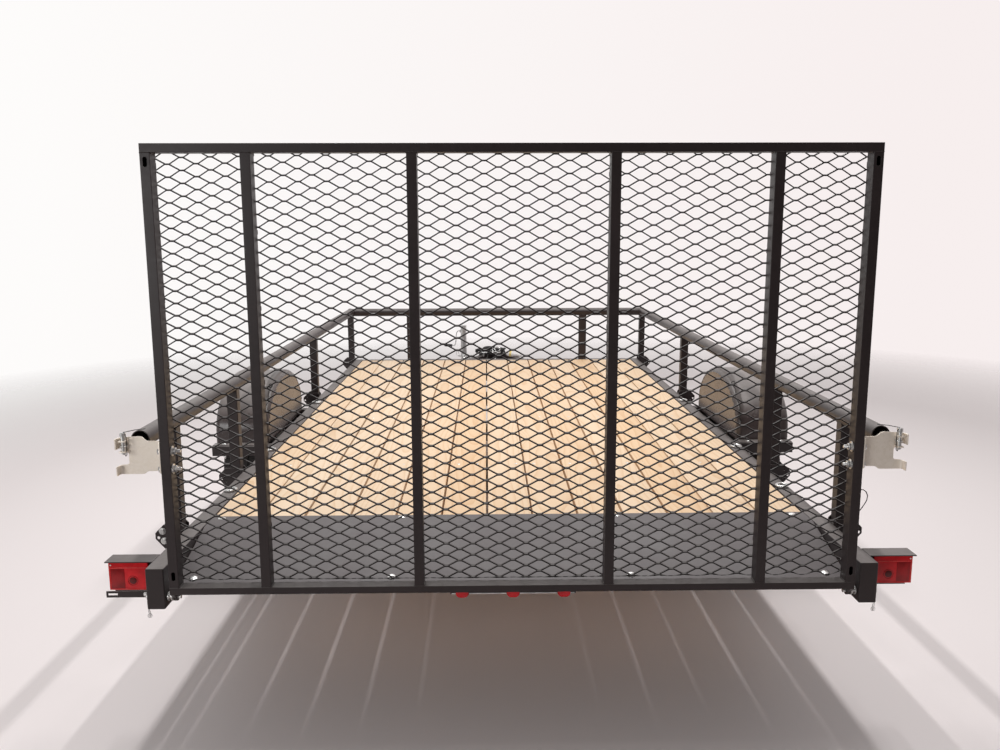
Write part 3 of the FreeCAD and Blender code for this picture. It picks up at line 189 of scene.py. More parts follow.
def both(*shapes):
    """Shapes of the trailer's right side, and the same on its left."""
    shape = joined(shapes)
    return joined([shape, mirrored(shape)])


def riding(mesh, slot, body, finish=None, smooth_angle=35.0, replaces=()):
    """An object for a mesh, riding on a body. Its finish is the slot's own if none is given."""
    mesh.materials.append(finish or MATERIALS[slot])
    mesh.validate()
    if smooth_angle:
        mesh.shade_smooth()
        mesh.set_sharp_from_angle(angle=math.radians(smooth_angle))
    piece = bpy.data.objects.new(mesh.name, mesh)
    bpy.context.scene.collection.objects.link(piece)
    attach(piece, body)
    if replaces:
        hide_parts(*replaces)
    print(piece.name, "has", len(mesh.polygons), "faces")
    return piece


def make(name, shape, slot, body="trailer_frame", **settings):
    """An object from a (points, faces) pair."""
    mesh = bpy.data.meshes.new(name)
    mesh.from_pydata([tuple(p) for p in shape[0]], [], shape[1])
    return riding(mesh, slot, body, **settings)


def lathe(profile, sides, closed=False):
    """A profile of (along, radius) points turned round the Z axis."""
    return skin([[Vector((radius * c, radius * s, along)) for c, s in circle(sides)] for along, radius in profile],
                closed)


def facing(direction):
    """A turn that takes +Z to a direction."""
    return Vector(direction).to_track_quat("Z", "Y").to_matrix()


def taken(mesh):
    """The (points, faces) pair of a bmesh, which is freed."""
    mesh.verts.index_update()
    shape = [v.co.copy() for v in mesh.verts], [tuple(v.index for v in face.verts) for face in mesh.faces]
    mesh.free()
    return shape


def block(low, high, edge):
    """A box between two corners, with its edges eased by a width."""
    mesh = bmesh.new()
    bmesh.ops.create_cube(mesh, size=1.0)
    low, high = Vector(low), Vector(high)
    for vert in mesh.verts:
        vert.co = Vector((low[i] + (vert.co[i] + 0.5) * (high[i] - low[i]) for i in range(3)))
    bmesh.ops.bevel(mesh, geom=list(mesh.edges), offset=edge, segments=2, profile=0.6, affect="EDGES")
    return taken(mesh)


def cable(path, radius, sides=8, closed=False):
    """A round wire along a list of points."""
    path = [Vector(p) for p in path]
    rings, normal = [], None
    for i, p in enumerate(path):
        before = path[i - 1] if i or closed else p
        after = path[(i + 1) % len(path)] if i < len(path) - 1 or closed else p
        along = (after - before).normalized()
        normal = normal or along.orthogonal().normalized()
        normal = (normal - along * normal.dot(along)).normalized()
        across = along.cross(normal)
        rings.append([p + (normal * c + across * s) * radius for c, s in circle(sides)])
    return skin(rings, closed)


def weld_bead(start, end, radius, pitch=0.0032):
    """A row of overlapping ripples between two points, as a welder leaves them."""
    start, end = Vector(start), Vector(end)
    steps = max(3, int((end - start).length / pitch))
    sides = 8
    path = [start.lerp(end, i / (2 * steps)) for i in range(2 * steps + 1)]
    points, faces = cable(path, radius, sides)
    for i, centre in enumerate(path):
        swell = 1.0 if i % 2 else 0.86
        if i in (0, len(path) - 1):
            swell = 0.45
        for k in range(sides):
            points[i * sides + k] = centre + (points[i * sides + k] - centre) * swell
    return points, faces

# %% [markdown]
# The floor is a pale disc that fades into a plain bright background. The background is the world's colour,
# and the Light Path node gives the camera and mirror-like surfaces a brighter version than the one that
# lights the trailer, so a pale backdrop doesn't wash out the dark paint. Three lamps do the rest: two long
# strips overhead, as in a showroom, and a soft one, like a window, from behind the viewer on the left.

# %% Node helpers
def put(tree, kind, inputs=(), **settings):
    """A node with its settings, and with inputs that are values or links from other sockets."""
    node = tree.nodes.new(kind)
    for name, value in settings.items():
        setattr(node, name, value)
    for key, value in dict(inputs).items():
        if isinstance(value, bpy.types.NodeSocket):
            tree.links.new(value, node.inputs[key])
        else:
            node.inputs[key].default_value = value
    return node


def maths(tree, operation, value, *others, clamp=False):
    """A sum, a product or another operation on values taken from left to right."""
    others = others or (0.0,)
    for number, other in enumerate(others, 1):
        value = put(tree, "ShaderNodeMath", {0: value, 1: other}, operation=operation,
                    use_clamp=clamp and number == len(others)).outputs[0]
    return value


def plus(tree, *values, clamp=False):
    return maths(tree, "ADD", *values, clamp=clamp)


def times(tree, *values, clamp=False):
    return maths(tree, "MULTIPLY", *values, clamp=clamp)


def blended(tree, factor, a, b, blend="MIX"):
    """Two colours mixed by a factor."""
    return put(tree, "ShaderNodeMix", {0: factor, 6: a, 7: b}, data_type="RGBA", blend_type=blend).outputs[2]


def between(tree, value, low, high, to_low=0.0, to_high=1.0):
    """A value's range mapped to another range, held at both ends."""
    return put(tree, "ShaderNodeMapRange", {0: value, 1: low, 2: high, 3: to_low, 4: to_high}).outputs[0]


def noise(tree, coordinates, scale, detail, roughness=0.5):
    return put(tree, "ShaderNodeTexNoise", {"Vector": coordinates, "Scale": scale, "Detail": detail,
                                            "Roughness": roughness}).outputs["Fac"]


def stretched(tree, coordinates, factors):
    """Coordinates multiplied along X, Y and Z."""
    return put(tree, "ShaderNodeVectorMath", {0: coordinates, 1: factors}, operation="MULTIPLY").outputs[0]


def shade(value):
    """A grey, or a colour, as four numbers."""
    return (value, value, value, 1.0) if isinstance(value, float) else (*value, 1.0)


# %% Floor and background
FLOOR_CENTRE = (0.5, 0.4)
FLOOR_RADIUS = 6.5
FLOOR_FADE = 3.2
FLOOR_COLOUR = (0.87, 0.80, 0.795)
BACKDROP_LEFT = (0.985, 0.970, 0.960)
BACKDROP_RIGHT = (0.930, 0.860, 0.855)
ROOM_AHEAD = 0.44          # light from the bright end of the room, and from the dim end behind the viewer
ROOM_BEHIND = 0.18
MIRRORED_BEHIND = 0.16     # the dim end, as polished steel shows it

world = bpy.data.worlds.new("studio")
bpy.context.scene.world = world
world.use_nodes = True
sky = world.node_tree
sky.nodes.clear()
rays = put(sky, "ShaderNodeLightPath")
looks = put(sky, "ShaderNodeSeparateXYZ", {0: put(sky, "ShaderNodeTexCoord").outputs["Generated"]}).outputs
backdrop = blended(sky, between(sky, looks[0], -0.45, 0.45), shade(BACKDROP_LEFT), shade(BACKDROP_RIGHT))
mirrors = maths(sky, "MAXIMUM", rays.outputs["Is Glossy Ray"], rays.outputs["Is Transmission Ray"])
lit = put(sky, "ShaderNodeBackground", {"Color": shade((1.0, 0.975, 0.965)),
                                        "Strength": between(sky, looks[1], -0.7, 0.7, ROOM_BEHIND, ROOM_AHEAD)})
sheen = put(sky, "ShaderNodeBackground", {"Color": backdrop,
                                          "Strength": between(sky, looks[1], -0.8, 0.25, MIRRORED_BEHIND, 1.0)})
shown = put(sky, "ShaderNodeBackground", {"Color": backdrop, "Strength": 1.0})
either = put(sky, "ShaderNodeMixShader", {0: mirrors, 1: lit.outputs[0], 2: sheen.outputs[0]})
either = put(sky, "ShaderNodeMixShader", {0: rays.outputs["Is Camera Ray"], 1: either.outputs[0],
                                          2: shown.outputs[0]})
put(sky, "ShaderNodeOutputWorld", {"Surface": either.outputs[0]})

floor_material = bpy.data.materials.new("floor")
floor_material.use_nodes = True
tree = floor_material.node_tree
tree.nodes.clear()
place = put(tree, "ShaderNodeTexCoord").outputs["Object"]
distance = put(tree, "ShaderNodeVectorMath", {0: place}, operation="LENGTH").outputs["Value"]
fade = between(tree, distance, FLOOR_RADIUS - FLOOR_FADE, FLOOR_RADIUS)
paint = put(tree, "ShaderNodeBsdfPrincipled", {"Base Color": shade(FLOOR_COLOUR), "Roughness": 0.55})
clear = put(tree, "ShaderNodeBsdfTransparent")
edge = put(tree, "ShaderNodeMixShader", {0: fade, 1: paint.outputs[0], 2: clear.outputs[0]})
put(tree, "ShaderNodeOutputMaterial", {"Surface": edge.outputs[0]})

floor_mesh = bpy.data.meshes.new("floor")
rim = hoop((0, 0, 0), FLOOR_RADIUS, 96, up=(0, 1, 0))
floor_mesh.from_pydata(rim, [], [tuple(range(len(rim)))])
floor_mesh.materials.append(floor_material)
floor = bpy.data.objects.new("floor", floor_mesh)
floor.location = (*FLOOR_CENTRE, CAD_BOX[0][2] - 0.0005)
bpy.context.scene.collection.objects.link(floor)
floor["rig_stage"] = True
print("floor radius", FLOOR_RADIUS)

# %% Lamps
LAMPS = (   # name, place, aims at, width, depth, watts
    ("overhead_left", (-0.95, -0.4, 4.5), (-0.95, -0.4, 0.0), 0.12, 4.4, 102.0),
    ("overhead_right", (1.10, -0.4, 4.5), (1.10, -0.4, 0.0), 0.12, 4.4, 102.0),
    ("left_window", (-3.4, -6.2, 1.7), (-0.4, -2.2, 1.1), 2.2, 1.8, 76.0),
)
for name, place, aim, width, depth, watts in LAMPS:
    light = bpy.data.lights.new(name, "AREA")
    light.shape = "RECTANGLE"
    light.size, light.size_y, light.energy = width, depth, watts
    lamp = bpy.data.objects.new(name, light)
    lamp.location = place
    lamp.rotation_euler = (Vector(aim) - Vector(place)).to_track_quat("-Z", "Y").to_euler()
    bpy.context.scene.collection.objects.link(lamp)
bpy.context.scene.view_settings.view_transform = "Standard"
print(len(LAMPS), "lamps")

# %% [markdown]
# Most finishes here share a few effects: the faint orange peel of powder coating, dust that settles on what
# faces up, and the soft cloudiness of plated steel. Each effect is a shader node group with named inputs and
# outputs. A group is built once and every material places it with its own numbers, which keeps all the
# trailer's steel looking as if it came from one yard.

# %% Group maker
def new_group(name, inputs, outputs):
    """An empty node group with named sockets, its tree and its input node's sockets."""
    group = bpy.data.node_groups.new(name, "ShaderNodeTree")
    kinds = {"colour": "NodeSocketColor", "vector": "NodeSocketVector", "value": "NodeSocketFloat"}
    for label, kind, default in inputs:
        socket = group.interface.new_socket(name=label, in_out="INPUT", socket_type=kinds[kind])
        if default is not None:
            socket.default_value = default
    for label, kind in outputs:
        group.interface.new_socket(name=label, in_out="OUTPUT", socket_type=kinds[kind])
    return group, put(group, "NodeGroupInput").outputs


def spaced(inputs):
    """Inputs named as keywords, with the spaces that the sockets' names have."""
    return {label.replace("_", " "): value for label, value in inputs.items()}


def use(tree, group, **inputs):
    """A node group placed in a material, with its inputs given by name."""
    return put(tree, "ShaderNodeGroup", spaced(inputs), node_tree=group).outputs


# %% Group: coating
coating, given = new_group("coating", [("place", "vector", None), ("colour", "colour", shade(0.05)),
                                       ("mottle", "value", 0.25), ("peel scale", "value", 420.0)],
                           [("colour", "colour"), ("peel", "value"), ("roughness", "value")])
cloud = noise(coating, given["place"], 6.0, 5.0, 0.6)
fine = noise(coating, given["place"], 90.0, 3.0, 0.6)
tone = plus(coating, times(coating, cloud, 0.65), times(coating, fine, 0.35))
factor = plus(coating, 1.0, times(coating, maths(coating, "SUBTRACT", tone, 0.5), given["mottle"], 4.0))
grey = put(coating, "ShaderNodeCombineColor", {0: factor, 1: factor, 2: factor}).outputs[0]
put(coating, "NodeGroupOutput", {
    "colour": blended(coating, 1.0, given["colour"], grey, "MULTIPLY"),
    "peel": noise(coating, given["place"], given["peel scale"], 2.0),
    "roughness": between(coating, tone, 0.35, 0.65, -0.07, 0.07)})
print("group", coating.name)

# %% Group: settled dust
settled_dust, given = new_group("settled dust", [("place", "vector", None), ("colour", "colour", shade(0.05)),
                                                 ("dust colour", "colour", shade((0.42, 0.38, 0.36))),
                                                 ("amount", "value", 0.3)],
                                [("colour", "colour"), ("mask", "value")])
facing_up = put(settled_dust, "ShaderNodeSeparateXYZ",
                {0: put(settled_dust, "ShaderNodeNewGeometry").outputs["Normal"]}).outputs[2]
flat = between(settled_dust, facing_up, 0.35, 0.95)
patch = between(settled_dust, noise(settled_dust, given["place"], 14.0, 6.0, 0.65), 0.3, 0.75, 0.55, 1.0)
mask = times(settled_dust, flat, patch, given["amount"], clamp=True)
put(settled_dust, "NodeGroupOutput", {
    "colour": blended(settled_dust, mask, given["colour"], given["dust colour"]), "mask": mask})
print("group", settled_dust.name)

# %% Group: plated steel
plating, given = new_group("plating", [("place", "vector", None), ("light", "colour", shade(0.7)),
                                       ("dark", "colour", shade(0.4)), ("flake scale", "value", 60.0)],
                           [("colour", "colour"), ("roughness", "value"), ("relief", "value")])
flakes = put(plating, "ShaderNodeTexVoronoi", {"Vector": given["place"], "Scale": given["flake scale"]})
flake = put(plating, "ShaderNodeSeparateColor", {0: flakes.outputs["Color"]}).outputs[0]
stain = noise(plating, given["place"], 11.0, 5.0, 0.65)
tone = plus(plating, times(plating, flake, 0.35), times(plating, stain, 0.65))
put(plating, "NodeGroupOutput", {
    "colour": blended(plating, between(plating, tone, 0.25, 0.7), given["dark"], given["light"]),
    "roughness": between(plating, tone, 0.2, 0.8, 0.08, -0.08),
    "relief": noise(plating, given["place"], 260.0, 2.0)})
print("group", plating.name)

# %% [markdown]
# A material starts from Blender's Principled shader. The helper makes one with its plain numbers set on the
# shader itself, hands back the tree and the object's own coordinates, and joins a height to the Bump node,
# which tilts the surface's normal a little without any extra geometry.

# %% Material helper
def new_material(name, **plain):
    """A material's tree, its Principled shader and its object coordinates."""
    material = bpy.data.materials.new(name)
    material.use_nodes = True
    tree = material.node_tree
    tree.nodes.clear()
    shader = put(tree, "ShaderNodeBsdfPrincipled", spaced(plain))
    put(tree, "ShaderNodeOutputMaterial", {"Surface": shader.outputs[0]})
    return material, tree, shader, put(tree, "ShaderNodeTexCoord").outputs["Object"]


def finish(tree, shader, colour, roughness, height, strength, depth):
    """Links what changes over the surface to the shader."""
    tree.links.new(colour, shader.inputs["Base Color"])
    if roughness is not None:
        tree.links.new(roughness, shader.inputs["Roughness"])
    bump = put(tree, "ShaderNodeBump", {"Height": height, "Strength": strength, "Distance": depth})
    tree.links.new(bump.outputs[0], shader.inputs["Normal"])


# %% Coated steels
DUST_COLOUR = shade((0.42, 0.38, 0.36))


def coated_steel(name, colour, roughness, dust, mottle=0.25, specular=0.5, peel=0.25):
    """Paint or powder coat on steel, with orange peel and settled dust."""
    material, tree, shader, place = new_material(name, Specular_IOR_Level=specular)
    coat = use(tree, coating, place=place, colour=shade(colour), mottle=mottle)
    dusty = use(tree, settled_dust, place=place, colour=coat["colour"], dust_colour=DUST_COLOUR, amount=dust)
    rough = plus(tree, coat["roughness"], roughness, times(tree, dusty["mask"], 0.35), clamp=True)
    finish(tree, shader, dusty["colour"], rough, coat["peel"], peel, 0.0006)
    return material


def bare_steel(name, light, dark, roughness, metallic=1.0, flakes=60.0, relief=0.15):
    """Plated or bare steel with cloudy flakes."""
    material, tree, shader, place = new_material(name, Metallic=metallic)
    plated = use(tree, plating, place=place, light=shade(light), dark=shade(dark), flake_scale=flakes)
    rough = plus(tree, plated["roughness"], roughness, clamp=True)
    finish(tree, shader, plated["colour"], rough, plated["relief"], relief, 0.0005)
    return material


COATED = {                 # colour, roughness, dust, and what differs from the usual coat
    "black_frame": ((0.024, 0.0155, 0.0155), 0.42, 0.40, dict(specular=0.4)),
    "plate_steel": ((0.040, 0.030, 0.034), 0.50, 0.18, dict(mottle=0.5)),
    "mesh_steel": ((0.014, 0.0095, 0.0095), 0.45, 0.20, dict(mottle=0.3, specular=0.25)),
    "fender_steel": ((0.060, 0.044, 0.043), 0.24, 0.60, dict(mottle=0.3, peel=0.12)),
    "rim_paint": ((0.62, 0.62, 0.61), 0.38, 0.15, dict(mottle=0.15)),
    "axle_steel": ((0.020, 0.018, 0.018), 0.50, 0.30, dict()),
    "spring_steel": ((0.035, 0.031, 0.029), 0.55, 0.35, dict(mottle=0.5)),
    "lamp_body": ((0.030, 0.028, 0.028), 0.45, 0.50, dict()),
}
BARE = {                   # light colour, dark colour, roughness, then share of metal, flakes and relief
    "jack_steel": ((0.62, 0.61, 0.60), (0.42, 0.42, 0.42), 0.42, 0.85),
    "zinc": ((0.78, 0.77, 0.75), (0.48, 0.48, 0.48), 0.33),
    "zinc_yellow": ((0.94, 0.85, 0.75), (0.86, 0.77, 0.66), 0.40, 0.35, 150.0, 0.05),
}
MATERIALS = {name: coated_steel(name, *numbers, **more) for name, (*numbers, more) in COATED.items()}
MATERIALS.update({name: bare_steel(name, *numbers) for name, numbers in BARE.items()})
print(len(MATERIALS), "steel finishes")

# %% [markdown]
# Every folded sheet and drawn tube has a small radius on its edges, and that thin line of light is most of
# what makes steel look like steel. The skeleton's edges are knife sharp. Each steel node is copied, its flat
# faces are made whole again, and its outer edges are bevelled: a real corner radius on the long edges of a
# tube, and a hair's breadth on the cut ends. The copy stands for the node.

# %% Rounded copies of the steel nodes
CUT_EASE = 0.0005          # the bevel of every other outer edge
LONG_EDGE = 0.1            # edges longer than this take the corner's radius


def rounded(node, corner):
    """A copy of a node with rounded outer edges, riding where the node rides."""
    source = frame["nodes"][node]
    slot = source.material_slots[0].material.name.split(".")[0]
    mesh = bmesh.new()
    mesh.from_mesh(source.data)
    bmesh.ops.remove_doubles(mesh, verts=mesh.verts, dist=1e-5)
    bmesh.ops.dissolve_limit(mesh, angle_limit=math.radians(0.6), verts=mesh.verts, edges=mesh.edges)
    turned = math.radians(32)

    def outer(shortest):
        return [e for e in mesh.edges if len(e.link_faces) == 2 and e.is_convex
                and e.calc_face_angle(0) > turned and e.calc_length() > shortest]

    for ease, segments, shortest in ((corner, 3, LONG_EDGE), (CUT_EASE, 1, 0.0)):
        if ease:
            bmesh.ops.bevel(mesh, geom=outer(shortest), offset=ease, segments=segments, profile=0.5,
                            affect="EDGES", clamp_overlap=False)
    data = bpy.data.meshes.new(node + "_rounded")
    mesh.to_mesh(data)
    mesh.free()
    piece = riding(data, slot, source["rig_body"], smooth_angle=38, replaces=(node,))
    piece.modifiers.new("even shading", "WEIGHTED_NORMAL").keep_sharp = True


CORNERS = {   # corner radius of the tube or section, in metres
    "side_member_left": 0.003, "side_member_right": 0.003, "front_member": 0.005, "rear_beam": 0.005,
    "tongue_beam_left": 0.005, "tongue_beam_right": 0.005, "fender_outriggers": 0.003,
    "gate_crossbars": 0.0012, "gate_uprights": 0.0012, "front_posts": 0.003, "side_posts": 0.003,
    "deck_crossmembers": 0.002, "tail_plate": 0.0,
    "post_brackets": 0.0, "lamp_housings": 0.001, "lamp_guards": 0.0006, "plate_bracket": 0.0006,
    "marker_bar": 0.0, "gate_lugs": 0.0, "spring_hangers": 0.0, "leaf_springs": 0.0,
    "axle_clamps": 0.0, "jack_mount": 0.0, "coupler": 0.0, "coupler_latch": 0.002,
}
for node, corner in CORNERS.items():
    rounded(node, corner)
print(len(CORNERS), "nodes have rounded edges")

# %% [markdown]
# Some nodes are right as they are, such as the round rails and the axle. They keep their own mesh and only
# take a finish: the material in the node's slot is swapped for the one made above.

# %% Finishes for the other nodes
KEPT = ["side_rail_left", "side_rail_right", "front_rail", "axle", "hub_left", "hub_right", "wheel_rim_left",
        "wheel_rim_right", "jack_tube", "jack_leg", "hinge_pins", "tie_downs"]
for node in KEPT:
    for held in frame["nodes"][node].material_slots:
        held.material = MATERIALS[held.material.name.split(".")[0]]
print(len(KEPT), "nodes keep their mesh")

# %% [markdown]
# Expanded steel mesh is one sheet, slit and pulled open. What is left is a set of zigzag strands that share a
# short flat bond wherever two of them meet, and each strand leans out of the sheet's plane. It is built that
# way: one zigzag for each row, with a four-sided section that leans, so every bond is two strands lying
# together. Real sheets are never hung quite level, so the rows fall a little to the left.

# %% Expanded mesh
DIAMOND_LONG = 0.0710
DIAMOND_SHORT = 0.0312
STRAND_WIDTH = 0.0040
STRAND_THICK = 0.0033
STRAND_LEAN = math.radians(12)
BOND_HALF = 0.0045
MESH_EDGE = 0.0085         # beyond the inner faces of the gate's side bars
MESH_BOTTOM = 0.0048       # above the top of the gate's lowest bar
MESH_SKEW = 0.0013
MESH_MIDDLE_Z = 1.035

gate_low, gate_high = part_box("gate_uprights")
GATE_BAR = 0.025
GATE_BACK, GATE_FRONT = gate_low[1], gate_high[1]
MESH_RIGHT = gate_high[0] - GATE_BAR + MESH_EDGE
MESH_LOW = gate_low[2] + MESH_BOTTOM
MESH_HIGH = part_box("gate_crossbars")[1][2] - 0.004
BOND_PLACE = (-0.1799, 1.5663)   # the middle of one bond


def sheet_hang(x, z):
    """How far the sheet, pulled unevenly when it was made, lies above a level one."""
    up = z - MESH_MIDDLE_Z
    return -0.0067 + MESH_SKEW * x + 0.0100 * up - 0.0020 * x * up + 0.0026 * up * up - 0.0191 * x * x * up


def strand(row, first, last):
    """A zigzag between bond rows number row and row + 1, as a leaning four-sided bar."""
    half_long, half_short = DIAMOND_LONG / 2, DIAMOND_SHORT / 2
    across = Vector((0, math.cos(STRAND_LEAN), math.sin(STRAND_LEAN)))
    upright = Vector((0, -math.sin(STRAND_LEAN), math.cos(STRAND_LEAN)))
    middle = (GATE_FRONT + STRAND_WIDTH * math.cos(STRAND_LEAN) + STRAND_THICK / 2 * math.sin(STRAND_LEAN))
    stations = []
    for column in range(first, last + 1):
        upper = (column + row) % 2 == 1          # this bond lies above the strand
        bond_row = row + 1 if upper else row
        x = BOND_PLACE[0] + column * half_long
        z = BOND_PLACE[1] + bond_row * half_short
        lean = -0.5 if upper else 0.5
        for dx, share in ((-BOND_HALF - 0.002, 0.94), (-BOND_HALF, 1.0), (BOND_HALF, 1.0), (BOND_HALF + 0.002, 0.94)):
            rise = (1.0 - share) * half_short * (-1 if upper else 1)
            stations.append((x + dx, z + rise, lean * (2 * share - 1)))
    rings = []
    for x, z, lean in stations:
        x = max(-MESH_RIGHT, min(MESH_RIGHT, x))
        centre = Vector((x, middle, z + sheet_hang(x, z))) + across * STRAND_WIDTH * lean
        ring = [centre + across * a * STRAND_WIDTH / 2 + upright * b * STRAND_THICK / 2
                for a, b in ((-1, -1), (1, -1), (1, 1), (-1, 1))]
        for corner in ring:
            corner.z = max(MESH_LOW, min(MESH_HIGH, corner.z))
        rings.append(ring)
    return skin(rings)


SMALLEST_FACE = 1e-9       # twice a face's area, in square metres


def cropped(shape):
    """The shape without the faces that were flattened at the sheet's cut edges."""
    points, faces = shape
    kept = []
    for face in faces:
        corners = [points[i] for i in face]
        area = sum(((corners[i] - corners[0]).cross(corners[i + 1] - corners[0])).length
                   for i in range(1, len(corners) - 1))
        if area > SMALLEST_FACE:
            kept.append(face)
    return points, kept


first_column = math.floor((-MESH_RIGHT - BOND_PLACE[0]) / (DIAMOND_LONG / 2))
last_column = math.ceil((MESH_RIGHT - BOND_PLACE[0]) / (DIAMOND_LONG / 2))
first_row = math.floor((MESH_LOW - BOND_PLACE[1]) / (DIAMOND_SHORT / 2))
last_row = math.floor((MESH_HIGH - BOND_PLACE[1]) / (DIAMOND_SHORT / 2))
strands = [strand(row, first_column, last_column) for row in range(first_row, last_row + 1)]
make("expanded_mesh", cropped(joined(strands)), "mesh_steel", "ramp_gate", smooth_angle=0, replaces=("gate_mesh",))

# %% [markdown]
# The deck is sawn pine. A board's lines are its growth rings, cut through: nearly straight where the saw ran
# along the log and pointed arches where it crossed a bend. The shader does the same thing. Each board carries
# its own coordinates, measured from the heart of its own log, and the rings are distances from that heart,
# bent by slow noise and pushed aside round knots.

# %% Group: sawn wood
wood, given = new_group("sawn wood", [("log place", "vector", None), ("ring width", "value", 0.011),
                                      ("early", "colour", shade((0.83, 0.672, 0.510))),
                                      ("late", "colour", shade((0.71, 0.490, 0.295))),
                                      ("knot", "colour", shade((0.22, 0.10, 0.04)))],
                        [("colour", "colour"), ("height", "value"), ("roughness", "value")])
log = given["log place"]
axes_of_log = put(wood, "ShaderNodeSeparateXYZ", {0: log}).outputs
bend = noise(wood, stretched(wood, log, (2.0, 0.45, 2.0)), 1.6, 2.0, 0.4)
waver = noise(wood, stretched(wood, log, (14.0, 1.6, 14.0)), 1.0, 3.0, 0.5)
knots = put(wood, "ShaderNodeTexVoronoi", {"Vector": stretched(wood, log, (3.2, 1.15, 0.3)),
                                           "Scale": 1.0, "Randomness": 0.9})
knot_far = knots.outputs["Distance"]
knot_choice = put(wood, "ShaderNodeSeparateColor", {0: knots.outputs["Color"]}).outputs[0]
rare = between(wood, knot_choice, 0.52, 0.60)
near_knot = times(wood, between(wood, knot_far, 0.16, 0.02), rare)
heart = put(wood, "ShaderNodeCombineXYZ", {0: axes_of_log[0], 2: axes_of_log[2]}).outputs[0]
radius = put(wood, "ShaderNodeVectorMath", {0: heart}, operation="LENGTH").outputs["Value"]
radius = plus(wood, radius, times(wood, bend, 0.16), times(wood, waver, 0.008), times(wood, near_knot, 0.030))
phase = maths(wood, "FRACT", maths(wood, "DIVIDE", radius, given["ring width"]))
rise = between(wood, phase, 0.35, 0.92)
fall = between(wood, phase, 1.0, 0.94)
ring_line = times(wood, rise, rise, fall)
fibre = noise(wood, stretched(wood, log, (520.0, 7.0, 520.0)), 1.0, 3.0, 0.6)
patchy = noise(wood, stretched(wood, log, (7.0, 1.2, 7.0)), 1.0, 3.0, 0.5)
late_share = plus(wood, times(wood, ring_line, 0.60), between(wood, patchy, 0.40, 0.75, 0.0, 0.25),
                  between(wood, fibre, 0.5, 0.8, 0.0, 0.16), clamp=True)
body_colour = blended(wood, late_share, given["early"], given["late"])
knot_core = times(wood, between(wood, knot_far, 0.034, 0.022), rare, 0.85)
knot_glow = times(wood, between(wood, knot_far, 0.085, 0.025, 0.0, 0.55), rare)
body_colour = blended(wood, knot_glow, body_colour, given["late"])
put(wood, "NodeGroupOutput", {
    "colour": blended(wood, knot_core, body_colour, given["knot"]),
    "height": plus(wood, times(wood, fibre, 0.6), times(wood, ring_line, 0.5)),
    "roughness": between(wood, late_share, 0.0, 1.0, 0.62, 0.48)})
print("group", wood.name)

# %% Pine
pine, tree, shader, place = new_material("deck_wood", Specular_IOR_Level=0.35)
log_place = put(tree, "ShaderNodeAttribute", attribute_name="log_place").outputs["Vector"]
board_tone = put(tree, "ShaderNodeAttribute", attribute_name="board_tone").outputs["Fac"]
grain = use(tree, wood, log_place=log_place)
warm = blended(tree, board_tone, grain["colour"], shade((0.93, 0.80, 0.65)), "MULTIPLY")
smudge = between(tree, noise(tree, place, 2.2, 5.0, 0.6), 0.50, 0.78, 0.0, 0.16)
finish(tree, shader, blended(tree, smudge, warm, shade((0.50, 0.38, 0.26))), grain["roughness"], grain["height"],
       0.35, 0.0006)
MATERIALS["deck_wood"] = pine

# %% Boards
BOARD_COUNT = 13
BOARD_EASE = 0.0030        # rounded edges
boards_low, boards_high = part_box("deck_boards")
BOARD_GAP = 0.0048
BOARD_WIDTH = (boards_high[0] - boards_low[0] - (BOARD_COUNT - 1) * BOARD_GAP) / BOARD_COUNT
chance = random.Random(7)
boards, log_places, tones = [], [], []
for number in range(BOARD_COUNT):
    left = boards_low[0] + number * (BOARD_WIDTH + BOARD_GAP)
    shrink_left = chance.uniform(0.0, 0.0016)
    shrink_right = chance.uniform(0.0, 0.0016)
    sink = chance.uniform(0.0, 0.0012)
    board = block((left + shrink_left, boards_low[1], boards_low[2]),
                  (left + BOARD_WIDTH - shrink_right, boards_high[1], boards_high[2] - sink), BOARD_EASE)
    heart_x = left + BOARD_WIDTH * chance.uniform(0.1, 0.9)
    heart_z = boards_low[2] - chance.uniform(0.02, 0.14)
    slope = chance.uniform(-0.02, 0.02)
    along = chance.uniform(0, 40)
    tone = chance.uniform(0.0, 1.0)
    for p in board[0]:
        log_places.append((p.x - heart_x + slope * p.y, p.y + along, p.z - heart_z))
        tones.append(tone)
    boards.append(board)
deck = make("pine_boards", joined(boards), "deck_wood", replaces=("deck_boards",))
logs = deck.data.attributes.new("log_place", "FLOAT_VECTOR", "POINT")
logs.data.foreach_set("vector", [c for p in log_places for c in p])
deck.data.attributes.new("board_tone", "FLOAT", "POINT").data.foreach_set("value", tones)

# %% [markdown]
# Bolts, nuts and washers turn up everywhere on a trailer. A carriage bolt has a smooth domed head on the
# wood, and hexagon bolts and nuts hold steel to steel. All are turned from a profile: a hexagon is only a
# lathe with six sides. They are zinc plated, so a few bright dots stand out against the black paint.

# %% Fasteners
def dome(radius, height):
    """A carriage bolt's head, with its flat at z = 0."""
    arc = [(height * math.sin(math.radians(a)), radius * math.cos(math.radians(a))) for a in (8, 25, 45, 65, 82)]
    return lathe([(-0.0005, radius * 0.97), (0.0004, radius)] + arc + [(height, radius * 0.03)], 24)


def hexagon(radius, height):
    """A hexagon head or nut on z = 0, with its corners chamfered."""
    return lathe([(0, radius * 0.95), (0.12 * height, radius), (0.82 * height, radius), (height, radius * 0.84)], 6)


def washer(radius, hole, thick):
    ease = thick * 0.2
    return lathe([(0, hole), (0, radius - ease), (ease, radius), (thick - ease, radius), (thick, radius - ease),
                  (thick, hole)], 28, closed=True)


def headed(washer_radius, hole, thick, radius, height):
    """A hexagon bolt's head on its washer."""
    return joined([washer(washer_radius, hole, thick), moved(hexagon(radius, height), (0, 0, thick))])


THREAD_PITCH = 0.0016


